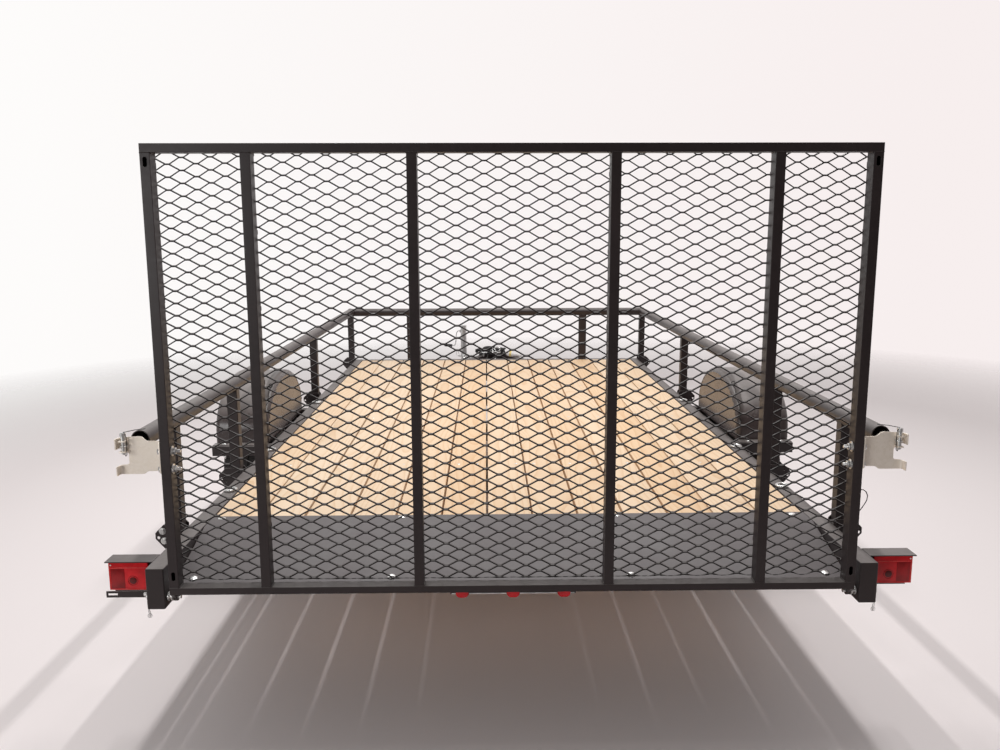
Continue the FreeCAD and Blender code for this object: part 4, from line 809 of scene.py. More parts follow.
def thread(radius, length):
    """A threaded end standing up from z = 0."""
    turns = max(2, int(length / THREAD_PITCH))
    profile = [(0.0, radius * 0.86)]
    for k in range(turns):
        profile += [((k + 0.25) * THREAD_PITCH, radius), ((k + 0.75) * THREAD_PITCH, radius * 0.86)]
    return lathe(profile + [(length, radius * 0.70)], 14)


def bolted(radius, washer_radius, stud):
    """A washer, a nut and the threaded end that passes through them."""
    thick = radius * 0.22
    height = radius * 0.95
    return joined([headed(washer_radius, radius * 0.56, thick, radius, height),
                   moved(thread(radius * 0.52, stud), (0, 0, thick + height))])


def placed(shape, places, direction):
    """Copies of a shape at several places, with +Z turned to a direction."""
    turn = facing(direction)
    return joined([moved(shape, place, turn) for place in places])


UP, DOWN = (0, 0, 1), (0, 0, -1)
LEFT, RIGHT = (-1, 0, 0), (1, 0, 0)
BACK, AHEAD = (0, -1, 0), (0, 1, 0)

# %% Deck bolts
DECK_TOP = boards_high[2]
plate_low, plate_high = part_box("tail_plate")
PLATE_BEND_Y = plate_low[1] + 0.295
LIP_BOLT_X = (-0.890, -0.335, 0.330, 0.880)
SLOPE_BOLT_X = (-0.876, -0.334, 0.326, 0.865)
carriage = dome(0.0115, 0.0042)
lip_bolts = placed(carriage, [(x, boards_low[1] - 0.022, plate_high[2]) for x in LIP_BOLT_X], UP)
slope_y = boards_low[1] - 0.340
fall = (plate_high[2] - plate_low[2] - 0.004) / (PLATE_BEND_Y - plate_low[1])
slope_z = plate_high[2] - (PLATE_BEND_Y - slope_y) * fall
slope_bolts = placed(carriage, [(x, slope_y, slope_z + 0.0008) for x in SLOPE_BOLT_X], (0, -fall, 1))
make("deck_bolts", joined([lip_bolts, slope_bolts]), "zinc")
CROSS_Y = [boards_low[1] + y for y in (0.595, 1.430, 2.265, 3.100)]
screw = dome(0.0062, 0.0012)
screw_places = []
for y in CROSS_Y:
    for number in range(BOARD_COUNT):
        middle = boards_low[0] + number * (BOARD_WIDTH + BOARD_GAP) + BOARD_WIDTH / 2
        for side in (-1, 1):
            screw_places.append((middle + side * 0.038 + chance.uniform(-0.004, 0.004), y, DECK_TOP - 0.0011))
make("deck_screws", placed(screw, screw_places, UP), "zinc")


# %% [markdown]
# Rubber is the roughest thing on the trailer. The tyres are lathe work with one change: the points of the
# tread drop inwards at even steps round the wheel, which cuts the cross grooves, while the profile itself
# has the grooves that run round. Raised rings on the sidewall catch a thin line of light.

# %% Rubber
def rubber(name, colour, roughness, dust):
    material, tree, shader, place = new_material(name, Specular_IOR_Level=0.35)
    coat = use(tree, coating, place=place, colour=shade(colour), mottle=0.35, peel_scale=900.0)
    dusty = use(tree, settled_dust, place=place, colour=coat["colour"], dust_colour=shade((0.20, 0.18, 0.17)),
                amount=dust)
    finish(tree, shader, dusty["colour"], plus(tree, coat["roughness"], roughness, clamp=True), coat["peel"], 0.3,
           0.0004)
    return material


MATERIALS["tyre"] = rubber("tyre", (0.026, 0.023, 0.022), 0.72, 0.5)
MATERIALS["grip"] = rubber("grip", (0.020, 0.019, 0.019), 0.60, 0.2)

# %% Tyres
tyre_low, tyre_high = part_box("tyre_right")
TYRE_RADIUS = (tyre_high[2] - tyre_low[2]) / 2
TYRE_HALF = (tyre_high[0] - tyre_low[0]) / 2
WHEEL_X = (tyre_low[0] + tyre_high[0]) / 2
AXLE_Y = (tyre_low[1] + tyre_high[1]) / 2
AXLE_Z = (tyre_low[2] + tyre_high[2]) / 2
TREAD_BLOCKS = 68
GROOVE_DEEP = 0.0065
SIDEWALL = (   # distance from the tyre's middle, radius, both as shares of the tyre's own
    (0.715, 0.5575), (0.735, 0.576), (0.800, 0.588), (0.880, 0.630), (0.950, 0.690), (0.972, 0.716),
    (0.984, 0.719), (0.986, 0.728), (0.978, 0.731), (0.998, 0.776), (1.000, 0.820), (0.990, 0.860),
    (0.996, 0.864), (0.994, 0.874), (0.980, 0.877), (0.945, 0.915), (0.890, 0.952))
GROOVES = (0.14, 0.47)     # round the wheel, on both sides of the middle
GROOVE_HALF = 0.034


def tread_height(x):
    """Radius share of the tread at a distance from the middle."""
    return 1.0 - 0.020 * x * x


def tread_profile():
    """(x, radius, on the tread) from the left bead to the right bead."""
    ribs = [(0.80, True)]
    for groove in reversed(GROOVES):
        for x, deep in ((groove + GROOVE_HALF, 0), (groove + GROOVE_HALF * 0.8, 1), (groove - GROOVE_HALF * 0.8, 1),
                        (groove - GROOVE_HALF, 0)):
            ribs.append((x, not deep))
    half = [(x * TYRE_HALF, r * TYRE_RADIUS, False) for x, r in SIDEWALL]
    half += [(0.845 * TYRE_HALF, tread_height(0.845) * TYRE_RADIUS * 0.995, True)]
    half += [(x * TYRE_HALF, tread_height(x) * TYRE_RADIUS - (0 if top else GROOVE_DEEP), top) for x, top in ribs]
    return [(-x, r, top) for x, r, top in half] + [(x, r, top) for x, r, top in reversed(half)]


def tyre_shape(wheel_x):
    profile = tread_profile()
    rings = []
    for share, cut in [((block + share) / TREAD_BLOCKS, cut) for block in range(TREAD_BLOCKS)
                       for share, cut in ((0.0, 0), (0.40, 0), (0.80, 0), (0.83, 1), (0.97, 1))]:
        ring = []
        for x, radius, top in profile:
            rib = 0.35 if abs(x) < GROOVES[1] * TYRE_HALF else 1.0
            r = radius - (GROOVE_DEEP * 0.8 * rib if cut and top else 0.0)
            angle = TAU * (share + 0.15 * abs(x) / TREAD_BLOCKS / TYRE_HALF)
            ring.append(Vector((wheel_x + x, AXLE_Y + r * math.sin(angle), AXLE_Z + r * math.cos(angle))))
        rings.append(ring)
    return skin(rings, closed=True, flipped=True)


for side, name in ((-1, "left"), (1, "right")):
    make("tyre_with_tread_" + name, tyre_shape(side * WHEEL_X), "tyre", "wheel_" + name, smooth_angle=30,
         replaces=("tyre_" + name,))

# %% [markdown]
# A wheel is held by five chromed nuts with conical seats. The bearing behind them is closed by a pressed
# grease cap, and a rubber valve stem stands in the rim. The nuts turn with the wheel, so all of these ride
# on the wheel's body.

# %% Wheel nuts, grease caps and valves
DISC_FACE = 0.011          # the disc's outer face outboard of the tyre's middle
STUD_COUNT = 5
STUD_CIRCLE = 0.05715
wheel_nut = joined([lathe([(0, 0.0075), (0.0035, 0.0105)], 6), moved(hexagon(0.0112, 0.0165), (0, 0, 0.0035))])
flange = washer(0.0122, 0.0066, 0.0022)
cap = lathe([(-0.001, 0.0255), (0.0, 0.0275), (0.003, 0.0275), (0.004, 0.0245), (0.022, 0.0240), (0.027, 0.0220),
             (0.0295, 0.0165), (0.0305, 0.009), (0.0310, 0.0015)], 40)
valve = joined([lathe([(0, 0.0062), (0.004, 0.0060), (0.014, 0.0044), (0.022, 0.0040)], 16),
                moved(lathe([(0, 0.0034), (0.001, 0.0041), (0.008, 0.0041), (0.009, 0.0032)], 14), (0, 0, 0.022))])
for side, name in ((-1, "left"), (1, "right")):
    outwards = (side, 0, 0)
    face_x = side * (WHEEL_X + DISC_FACE)
    nut_places = [(face_x, AXLE_Y + STUD_CIRCLE * math.sin(TAU * k / STUD_COUNT),
                   AXLE_Z + STUD_CIRCLE * math.cos(TAU * k / STUD_COUNT)) for k in range(STUD_COUNT)]
    make("wheel_nuts_" + name, placed(joined([flange, wheel_nut]), nut_places, outwards), "zinc", "wheel_" + name)
    hub_end = side * (abs(WHEEL_X) + 0.0093)
    make("grease_cap_" + name, placed(cap, [(hub_end, AXLE_Y, AXLE_Z)], outwards), "zinc", "wheel_" + name)
    make("tyre_valve_" + name, placed(valve, [(side * (WHEEL_X + 0.030), AXLE_Y + 0.166, AXLE_Z)],
                                      (side, -0.25, 0)), "grip", "wheel_" + name)

# %% [markdown]
# Lamp lenses are moulded plastic. Light passes into them and comes back, and the colour paints that in: the face
# shows a fine grid of prisms with painted shade at each prism's edges, a darker round where the bulb sits that is
# painted shade of the lamp's dark inside, and pale lines along the top and edges that are a painted highlight.
# The prisms are also a bump pattern; the rim, the round and the screws are real shapes.

# %% Lens plastic
prisms, given = new_group("prisms", [("place", "vector", None), ("pitch", "value", 0.004),
                                     ("colour", "colour", shade((0.55, 0.02, 0.015))),
                                     ("deep colour", "colour", shade((0.20, 0.006, 0.005)))],
                          [("colour", "colour"), ("height", "value")])
scaled = put(prisms, "ShaderNodeVectorMath", {0: given["place"], 3: maths(prisms, "DIVIDE", 1.0, given["pitch"])},
             operation="SCALE").outputs[0]
cells = put(prisms, "ShaderNodeSeparateXYZ", {0: put(prisms, "ShaderNodeVectorMath", {0: scaled},
                                                     operation="FRACTION").outputs[0]}).outputs
tilt = times(prisms, *(maths(prisms, "PINGPONG", cells[axis], 0.5) for axis in (0, 2)))
# The prisms' colour is a random murk plus painted shade: the tilt darkens the edges of each prism.
murk_and_prism_shade = plus(prisms, noise(prisms, given["place"], 30.0, 3.0), times(prisms, tilt, 1.2))
put(prisms, "NodeGroupOutput", {
    "colour": blended(prisms, between(prisms, murk_and_prism_shade, 0.45, 0.85), given["deep colour"], given["colour"]),
    "height": tilt})
print("group", prisms.name)


# Its deep colour is the prisms' painted shade.
def lens_plastic(name, colour, deep, pitch):
    material, tree, shader, place = new_material(name, Roughness=0.12, Specular_IOR_Level=0.35, Coat_Weight=0.1,
                                                 Coat_Roughness=0.06)
    moulded = use(tree, prisms, place=place, pitch=pitch, colour=shade(colour), deep_colour=shade(deep))
    finish(tree, shader, moulded["colour"], None, moulded["height"], 0.5, 0.0008)
    return material


MATERIALS["lens_red"] = lens_plastic("lens_red", (0.74, 0.010, 0.016), (0.50, 0.006, 0.010), 0.0035)
# A paler red for the lens's rims: a painted highlight where light catches their edges.
LENS_PAINTED_HIGHLIGHT = lens_plastic("lens_painted_highlight", (0.80, 0.10, 0.09), (0.66, 0.05, 0.045), 0.006)
# A dark red for the round where the bulb sits: painted shade of the lamp's dark inside.
LENS_PAINTED_SHADE = lens_plastic("lens_painted_shade", (0.13, 0.004, 0.004), (0.07, 0.002, 0.002), 0.002)
LENS_SHADED = lens_plastic("lens_shaded", (0.40, 0.008, 0.011), (0.20, 0.004, 0.005), 0.0028)

# %% Rear lamps
lens_low, lens_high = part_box("lamp_lenses")
LENS_OUT = lens_high[0]
LENS_IN = -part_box("plate_bracket")[1][0]
LENS_BACK, LENS_FRONT = lens_low[1], lens_high[1]
LENS_LOW, LENS_HIGH = lens_low[2], lens_high[2]


def disc(x, z, radius, y, proud, sides=36):
    """A flat round standing a little behind a face at y."""
    shape = lathe([(0, radius), (proud * 0.6, radius), (proud, radius * 0.94)], sides)
    return moved(shape, (x, y, z), facing(BACK))


def band(radius_in, radius_out, x, y, z, proud):
    ring_shape = lathe([(0, radius_in), (0, radius_out), (proud, radius_out - proud * 0.3),
                        (proud, radius_in + proud * 0.3)], 40, closed=True)
    return moved(ring_shape, (x, y, z), facing(BACK))


LENS_MIDDLE_Z = (LENS_LOW + LENS_HIGH) / 2
BULB_X = LENS_IN + 0.042
BULB_Z = LENS_LOW + 0.026
body = block((LENS_IN, LENS_BACK + 0.001, LENS_LOW), (LENS_OUT, LENS_FRONT, LENS_HIGH), 0.003)
LENS_EDGES = (             # sides, distances from the lens's back, heights, and how far the edges are eased
    (LENS_IN + 0.0005, LENS_OUT - 0.0005, 0.0, 0.004, LENS_HIGH - 0.0032, LENS_HIGH - 0.0002, 0.0008),
    (LENS_IN + 0.001, LENS_OUT - 0.001, 0.0002, 0.003, LENS_HIGH - 0.0185, LENS_HIGH - 0.0170, 0.0005),
    (LENS_OUT - 0.0030, LENS_OUT - 0.0003, 0.0, 0.004, LENS_LOW + 0.001, LENS_HIGH - 0.001, 0.0008),
    (LENS_IN + 0.0005, LENS_OUT - 0.0005, 0.0, 0.004, LENS_LOW, LENS_LOW + 0.0020, 0.0006))
lens_rim = joined([block((x0, LENS_BACK + y0, z0), (x1, LENS_BACK + y1, z1), ease)
                   for x0, x1, y0, y1, z0, z1, ease in LENS_EDGES])
rounds = joined([band(0.0085, 0.0100, BULB_X, LENS_BACK + 0.001, BULB_Z, 0.0008),
                 band(0.0125, 0.0136, BULB_X, LENS_BACK + 0.001, BULB_Z, 0.0007),
                 disc(BULB_X, BULB_Z, 0.0100, LENS_BACK + 0.0008, 0.0006)])
reflex = block((LENS_OUT - 0.042, LENS_BACK + 0.0004, LENS_LOW + 0.004),
               (LENS_OUT - 0.005, LENS_BACK + 0.002, LENS_HIGH - 0.0205), 0.0005)
lens_screws = joined([disc(x, z, 0.0022, LENS_BACK + 0.0012, 0.0012, 12) for x, z in
                      ((LENS_IN + 0.006, LENS_MIDDLE_Z - 0.010), (LENS_OUT - 0.006, LENS_HIGH - 0.010))])
make("lamp_lens_bodies", both(body), "lens_red", replaces=("lamp_lenses",))
# The rims carry the painted highlight.
make("lamp_lens_rims", both(lens_rim), "lens_red", finish=LENS_PAINTED_HIGHLIGHT)
# The bulb round carries the painted shade.
make("lamp_bulb_rounds", both(rounds), "lens_red", finish=LENS_PAINTED_SHADE)
make("lamp_reflexes", both(reflex), "lens_red", finish=LENS_SHADED)
make("lamp_screws", both(lens_screws), "zinc")

# %% Marker lamps
markers_low, markers_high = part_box("marker_lenses")
MARKER_PITCH = 0.140
MARKER_HALF_WIDE = markers_high[0] - MARKER_PITCH
MARKER_HALF_HIGH = (markers_high[2] - markers_low[2]) / 2
MARKER_Z = (markers_high[2] + markers_low[2]) / 2


def oval(half_wide, half_high, back, front, crown):
    """An oval button with a rounded rear edge, in steps from its mounting to its face."""
    straight = half_wide - half_high
    return skin([[Vector((c * half_high * share + math.copysign(straight, c), y, s * half_high * share))
                  for c, s in circle(36)]
                 for y, share in ((front, 1.0), (back + crown, 1.0), (back + 0.35 * crown, 0.94), (back, 0.80))])


marker = oval(MARKER_HALF_WIDE - 0.001, MARKER_HALF_HIGH - 0.001, markers_low[1], markers_high[1], 0.004)
gasket = oval(MARKER_HALF_WIDE, MARKER_HALF_HIGH, markers_high[1] - 0.003, markers_high[1], 0.001)
marker_places = [(number * MARKER_PITCH, 0, MARKER_Z) for number in (-1, 0, 1)]
make("marker_buttons", joined([moved(marker, place) for place in marker_places]), "lens_red",
     replaces=("marker_lenses",))
make("marker_gaskets", joined([moved(gasket, place) for place in marker_places]), "grip")
strip_low, strip_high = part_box("marker_bar")
strip = block((strip_low[0] + 0.004, strip_low[1] - 0.0006, strip_low[2] - 0.0002),
              (strip_high[0] - 0.004, strip_low[1] + 0.0004, strip_low[2] + 0.0030), 0.0003)
make("marker_strip_edge", strip, "zinc")

# %% [markdown]
# Each side of the gate carries a zinc-plated latch plate, stamped from thin sheet. It steps in beside the
# gate's bar, a notch opens outwards between two tabs, and the tabs' ends are folded back. A drop pin stands
# in the upper tab with a wire bail round it. The plate is an outline pushed to a thickness and mirrored.

# %% Plates from outlines
def plate(outline, depth, edge=0.0006):
    """A flat outline of (x, z) points made into a plate from y = 0 to y = depth, with its edges eased."""
    mesh = bmesh.new()
    ring_of_points = [mesh.verts.new((x, 0, z)) for x, z in outline]
    mesh.faces.new(ring_of_points)
    bmesh.ops.recalc_face_normals(mesh, faces=mesh.faces)
    pushed = bmesh.ops.extrude_face_region(mesh, geom=list(mesh.faces))
    for item in pushed["geom"]:
        if isinstance(item, bmesh.types.BMVert):
            item.co.y += depth
    bmesh.ops.recalc_face_normals(mesh, faces=mesh.faces)
    bmesh.ops.bevel(mesh, geom=[e for e in mesh.edges if e.calc_face_angle(0) > 1.0], offset=edge, segments=1,
                    affect="EDGES", clamp_overlap=True)
    return taken(mesh)


def folded(points, thick, low, high):
    """Sheet that follows a plan line of (x, y) points, standing from one height to another."""
    line = [Vector((x, y)) for x, y in points]
    offsets = []
    for i, p in enumerate(line):
        before = (p - line[i - 1]).normalized() if i else (line[1] - p).normalized()
        after = (line[i + 1] - p).normalized() if i < len(line) - 1 else before
        across = Vector((-(before + after).y, (before + after).x)).normalized()
        offsets.append(across * thick / 2 / max(0.5, across.dot(Vector((-before.y, before.x)))))
    outline = [p + o for p, o in zip(line, offsets)] + [p - o for p, o in reversed(list(zip(line, offsets)))]
    shape = plate([(p.x, p.y) for p in outline], high - low, 0.0004)
    return [Vector((p[0], p[2], low + p[1])) for p in shape[0]], inside_out(shape[1])


# %% Latches
latch_low, latch_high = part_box("latch_plates")
pins_low, pins_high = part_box("latch_pins")
GATE_SIDE = gate_high[0]
PLATE_THICK = 0.0032
PIN_X = pins_high[0] - 0.0225
PIN_Y = (pins_low[1] + pins_high[1]) / 2
LEAF_BACK = latch_high[1] - PLATE_THICK
LEAF_LOW, LEAF_HIGH = 0.7985, 0.8785
FLANGE_THICK = 0.0034
LATCH_OUTLINE = (
    (GATE_SIDE, LEAF_LOW), (0.9430, LEAF_LOW), (0.9475, 0.7975), (0.9560, 0.7915), (0.9660, 0.7910),
    (1.0130, 0.7910), (1.0130, 0.8160), (0.9975, 0.8170), (0.9935, 0.8200), (0.9930, 0.8450), (0.9965, 0.8490),
    (1.0130, 0.8490), (1.0130, 0.8890), (0.9640, 0.8910), (0.9560, 0.8890), (0.9480, 0.8810),
    (0.9430, LEAF_HIGH), (GATE_SIDE, LEAF_HIGH))
leaf = moved(plate(LATCH_OUTLINE, PLATE_THICK), (0, LEAF_BACK, 0))
flange_leaf = block((GATE_SIDE, gate_low[1], LEAF_LOW),
                    (GATE_SIDE + FLANGE_THICK, latch_high[1], LEAF_HIGH), 0.0005)


def tab_end(low, high):
    """The end of a tab, folded to the rear in an open curl."""
    y = latch_high[1] - PLATE_THICK / 2
    curl = [(1.0070, y), (1.0130, y - 0.001), (1.0165, y - 0.004), (1.0180, y - 0.009),
            (1.0180, latch_low[1] + 0.001)]
    return folded(curl, PLATE_THICK, low, high)


ears = joined([block((PIN_X - 0.0080, latch_low[1] + 0.001, z), (PIN_X + 0.0080, LEAF_BACK, z + PLATE_THICK), 0.0005)
               for z in (0.8525, 0.8800)])
latch = joined([leaf, flange_leaf, tab_end(0.7915, 0.8150), tab_end(0.8600, 0.8880), ears])
make("latch_leaves", both(latch), "zinc_yellow", "ramp_gate", replaces=("latch_plates",))
drop_pin = joined([
    moved(lathe([(0, 0.0036), (0.002, 0.0056), (0.046, 0.0056), (0.050, 0.0050)], 24), (0, 0, 0.8460)),
    moved(lathe([(0, 0.0060), (0.0012, 0.0078), (0.0090, 0.0078), (0.0105, 0.0066), (0.0110, 0.0030)], 24),
          (0, 0, 0.8935))])
make("latch_drop_pins", both(moved(drop_pin, (PIN_X, PIN_Y, 0))), "zinc", "ramp_gate", replaces=("latch_pins",))
KEEPER_LOW, KEEPER_HIGH, KEEPER_FRONT = 0.8670, 0.8700, -2.4000
keeper = joined([moved(washer(0.0098, 0.0066, 0.0030), (PIN_X, PIN_Y, KEEPER_LOW)),
                 block((PIN_X - 0.0085, PIN_Y + 0.0085, KEEPER_LOW), (PIN_X + 0.0085, KEEPER_FRONT, KEEPER_HIGH),
                       0.0005)])
make("latch_keepers", both(keeper), "zinc", replaces=("rail_straps",))
BAIL = ((-0.0060, -0.0070, 0.8470), (-0.0085, -0.0085, 0.8440), (-0.0115, -0.0088, 0.8480),
        (-0.0125, -0.0088, 0.8700), (-0.0120, -0.0085, 0.8930), (-0.0095, -0.0070, 0.9010),
        (-0.0030, -0.0020, 0.9050), (-0.0240, 0.0200, 0.9060), (-0.0420, 0.0420, 0.9040))
bail = cable([(PIN_X + x, PIN_Y + y, z) for x, y, z in BAIL], 0.0011)
make("latch_bails", both(bail), "axle_steel", "ramp_gate")

# %% Gate bolts and welds
INNER_SIDE = GATE_SIDE - GATE_BAR
gate_middle_y = (GATE_BACK + GATE_FRONT) / 2 - 0.002
nut = bolted(0.0095, 0.0135, 0.011)
LATCH_BOLT_ZS = (0.8530, 0.8060)
gate_nuts = placed(nut, [(INNER_SIDE, gate_middle_y, z) for z in LATCH_BOLT_ZS], LEFT)
gate_heads = placed(headed(0.0115, 0.0045, 0.0016, 0.0085, 0.0055),
                    [(GATE_SIDE + FLANGE_THICK, gate_middle_y - 0.004, z) for z in LATCH_BOLT_ZS], RIGHT)
make("latch_bolts", both(gate_nuts, gate_heads), "zinc", "ramp_gate")
UPRIGHTS = (-0.8925, -0.652, -0.250, 0.250, 0.652, 0.8925)
beads = []
for x in UPRIGHTS:
    for z in (gate_low[2], gate_high[2]):
        half = GATE_BAR / 2
        beads.append(weld_bead((x - half, GATE_BACK - 0.0002, z), (x + half, GATE_BACK - 0.0002, z), 0.0014, 0.0030))
        for side in (-1, 1):
            beads.append(weld_bead((x + side * half, GATE_BACK + 0.003, z),
                                   (x + side * half, GATE_FRONT - 0.003, z), 0.0024))
for side in (-1, 1):       # short tacks that hold the mesh to the side bars
    for step in range(7):
        z = MESH_LOW + 0.08 + step * 0.165
        beads.append(weld_bead((side * (INNER_SIDE + 0.002), GATE_FRONT + 0.001, z),
                               (side * (INNER_SIDE + 0.002), GATE_FRONT + 0.001, z + 0.016), 0.0022))
for x in UPRIGHTS[1:-1]:
    for side in (-1, 1):
        for step in range(6):
            z = MESH_LOW + 0.10 + step * 0.19 + (0.05 if side > 0 else 0.0)
            beads.append(weld_bead((x + side * (GATE_BAR / 2 - 0.001), GATE_FRONT + 0.001, z),
                                   (x + side * (GATE_BAR / 2 - 0.001), GATE_FRONT + 0.001, z + 0.012), 0.0018))
make("gate_welds", joined(beads), "black_frame", "ramp_gate")

# %% Hinge rings and clips
hinges_low, hinges_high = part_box("hinge_pins")
HINGE_Y = (hinges_low[1] + hinges_high[1]) / 2
HINGE_Z = (hinges_low[2] + hinges_high[2]) / 2
collar = washer(0.0125, 0.0061, 0.0030)
collars = placed(collar, [(GATE_SIDE + 0.0025, HINGE_Y, HINGE_Z), (GATE_SIDE + 0.0125, HINGE_Y, HINGE_Z)], RIGHT)
make("hinge_collars", both(collars), "zinc")
clip_x = hinges_high[0] + 0.0012
CLIP = ((0.0, -0.0060, 0.004), (0.0005, 0.0, 0.0085), (0.0, 0.0065, 0.004), (0.0, 0.0045, -0.020),
        (-0.0015, 0.0030, -0.040), (-0.0035, 0.0050, -0.048), (-0.0040, 0.0035, -0.0555),
        (-0.0045, -0.0015, -0.0575), (-0.0045, -0.0050, -0.0520), (-0.0025, -0.0030, -0.044),
        (-0.0005, -0.0020, -0.030), (0.0, -0.0030, -0.014))
clip = cable([(clip_x + x, HINGE_Y + y, HINGE_Z + z) for x, y, z in CLIP], 0.0010)
ring_points = hoop((clip_x - 0.004, HINGE_Y - 0.001, HINGE_Z - 0.0545), 0.0055, 18)
make("hinge_clips", both(clip, cable(ring_points, 0.0009, closed=True)), "zinc")

# %% [markdown]
# The rest are small fittings that a buyer would notice if they were missing: bolts in the post brackets,
# welds where tubes meet, a wire loop at a post, the fenders' seams and foot bolts, and the nuts on the
# springs. Most of them sit on surfaces whose places are read from the skeleton, so they follow it.

# %% Post brackets, posts and rails
brackets_low, brackets_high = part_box("post_brackets")
posts_low, posts_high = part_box("side_posts")
members_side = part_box("side_member_right")[1][0]
POST_HALF = 0.019
POST_STEP = 0.023          # post's middle to the outer face of a bracket plate
POST_YS = (brackets_low[1] + POST_STEP, brackets_low[1] + POST_STEP + 0.620, brackets_high[1] - POST_STEP - 1.285,
           brackets_high[1] - POST_STEP)
head = headed(0.0105, 0.0045, 0.0016, 0.0085, 0.0056)
rear_nut = bolted(0.0080, 0.0105, 0.006)
BRACKET_BOLTS = ((0.064, -0.003), (0.060, -0.033))      # out from the side member, and from the deck's height
bolts = [placed(shape, [(-members_side - out, POST_YS[0] + step, DECK_TOP + rise) for out, rise in BRACKET_BOLTS],
                way) for shape, step, way in ((head, -POST_STEP, BACK), (rear_nut, POST_STEP, AHEAD))]
make("bracket_bolts", joined(bolts), "zinc")
rail_low, rail_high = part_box("side_rail_right")
RAIL_X = (rail_low[0] + rail_high[0]) / 2
RAIL_Z = (rail_low[2] + rail_high[2]) / 2
RAIL_RADIUS = (rail_high[2] - rail_low[2]) / 2
FRONT_POST_X, FRONT_RAIL_Y = 0.588, 1.2139
beads = []
for y in POST_YS:
    for step in (-1, 1):
        face = y + step * (POST_HALF + 0.0005)
        beads.append(weld_bead((RAIL_X - POST_HALF, face, RAIL_Z - 0.0180),
                               (RAIL_X + POST_HALF, face, RAIL_Z - 0.0180), 0.0022))
        beads.append(weld_bead((RAIL_X + step * POST_HALF, y - POST_HALF, RAIL_Z - 0.0175),
                               (RAIL_X + step * POST_HALF, y + POST_HALF, RAIL_Z - 0.0175), 0.0022))
    beads.append(weld_bead((members_side + 0.001, y - POST_STEP, DECK_TOP - 0.080),
                           (members_side + 0.001, y - POST_STEP, DECK_TOP - 0.012), 0.0028))
for step in (-1, 1):
    for gap, z, radius in ((0.0, DECK_TOP + 0.0005, 0.0026), (0.0005, RAIL_Z - 0.0175, 0.0022)):
        y = FRONT_RAIL_Y + step * (POST_HALF + gap)
        beads.append(weld_bead((FRONT_POST_X - 0.025, y, z), (FRONT_POST_X + 0.025, y, z), radius))
make("post_welds", both(*beads), "black_frame")
mitre_ring = hoop((RAIL_X, FRONT_RAIL_Y, RAIL_Z), RAIL_RADIUS * 1.004, 40, along=(1, 1, 0))
make("rail_corner_welds", both(cable(mitre_ring, 0.0020, 6, closed=True)), "black_frame")

# %% Wire loop and short wire
def hanging(start, end, sag, steps, twist=0.0):
    """Points of a slack wire between two places."""
    start, end = Vector(start), Vector(end)
    line = []
    for i in range(steps + 1):
        share = i / steps
        drop = 4 * share * (1 - share)
        line.append(start.lerp(end, share) + Vector((twist * math.sin(TAU * share), 0, -sag * drop)))
    return line


LOOP = ((-0.001, 0.642), (0.028, 0.643), (0.041, 0.6415), (0.050, 0.635), (0.0552, 0.623), (0.0537, 0.609),
        (0.0457, 0.593), (0.0347, 0.577), (0.016, 0.557), (-0.001, 0.545))
loop = cable([(posts_high[0] + x, posts_low[1] + 0.003, z) for x, z in LOOP], 0.0015, 6)
make("post_lanyard", loop, "axle_steel")
wire_y = POST_YS[0] - POST_STEP - 0.004
earth_wire = hanging((-members_side - 0.030, wire_y, 0.505), (-members_side - 0.026, wire_y - 0.060, 0.440),
                     0.004, 8, 0.003)
make("lamp_earth_wire", cable(earth_wire, 0.0012, 6), "zinc")

# %% Fenders
fender_low, fender_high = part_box("fender_right")
FENDER_IN, FENDER_OUT = fender_low[0], fender_high[0]
FENDER_TOP = fender_high[2]
FENDER_FOOT = 0.040
FENDER_HALF = (fender_high[1] - fender_low[1]) / 2 - FENDER_FOOT
FENDER_UPRIGHT = 0.045
CROWN_RISE = FENDER_TOP - DECK_TOP - FENDER_UPRIGHT


def arch(share, lift=0.0):
    """A point on the fender's outline, from the top of the rear upright (0) over the crown (1) to the front (2)."""
    turn = math.pi / 2 * share
    away = Vector((-math.cos(turn) / FENDER_HALF, math.sin(turn) / CROWN_RISE)).normalized() * lift
    return (AXLE_Y - FENDER_HALF * math.cos(turn) + away.x, FENDER_TOP - CROWN_RISE * (1 - math.sin(turn)) + away.y)


FENDER_ROLL = 0.022        # radius where the band rolls into the walls
FENDER_SHEET = 0.0025
FENDER_LIP = 0.032


def along_fender(count):
    """Stations (y, z, outward direction) up the rear upright, over the arch and down the front."""
    stations = [(AXLE_Y - FENDER_HALF, DECK_TOP + FENDER_UPRIGHT * k / 2, (-1.0, 0.0)) for k in range(2)]
    for k in range(count + 1):
        y, z = arch(2 * k / count)
        beyond_y, beyond_z = arch(2 * k / count, 1.0)
        stations.append((y, z, (beyond_y - y, beyond_z - z)))
    return stations + [(AXLE_Y + FENDER_HALF, DECK_TOP + FENDER_UPRIGHT * k / 2, (1.0, 0.0)) for k in (1, 0)]


def fender_section():
    """The band across: inner wall's roll, crown, outer wall's roll and lip, then back along the underside."""
    outer, inner = [], []
    for k in range(7):
        turn = math.pi / 2 * k / 6
        outer.append((FENDER_IN + FENDER_ROLL * (1 - math.cos(turn)), -FENDER_ROLL * (1 - math.sin(turn))))
        inner.append((FENDER_IN + FENDER_ROLL - (FENDER_ROLL - FENDER_SHEET) * math.cos(turn),
                      -FENDER_ROLL + (FENDER_ROLL - FENDER_SHEET) * math.sin(turn)))
    middle = (FENDER_IN + FENDER_OUT) / 2
    outer += [(2 * middle - x, d) for x, d in reversed(outer)] + [(FENDER_OUT, -FENDER_LIP)]
    inner += [(2 * middle - x, d) for x, d in reversed(inner)] + [(FENDER_OUT - FENDER_SHEET, -FENDER_LIP)]
    return outer + list(reversed(inner))


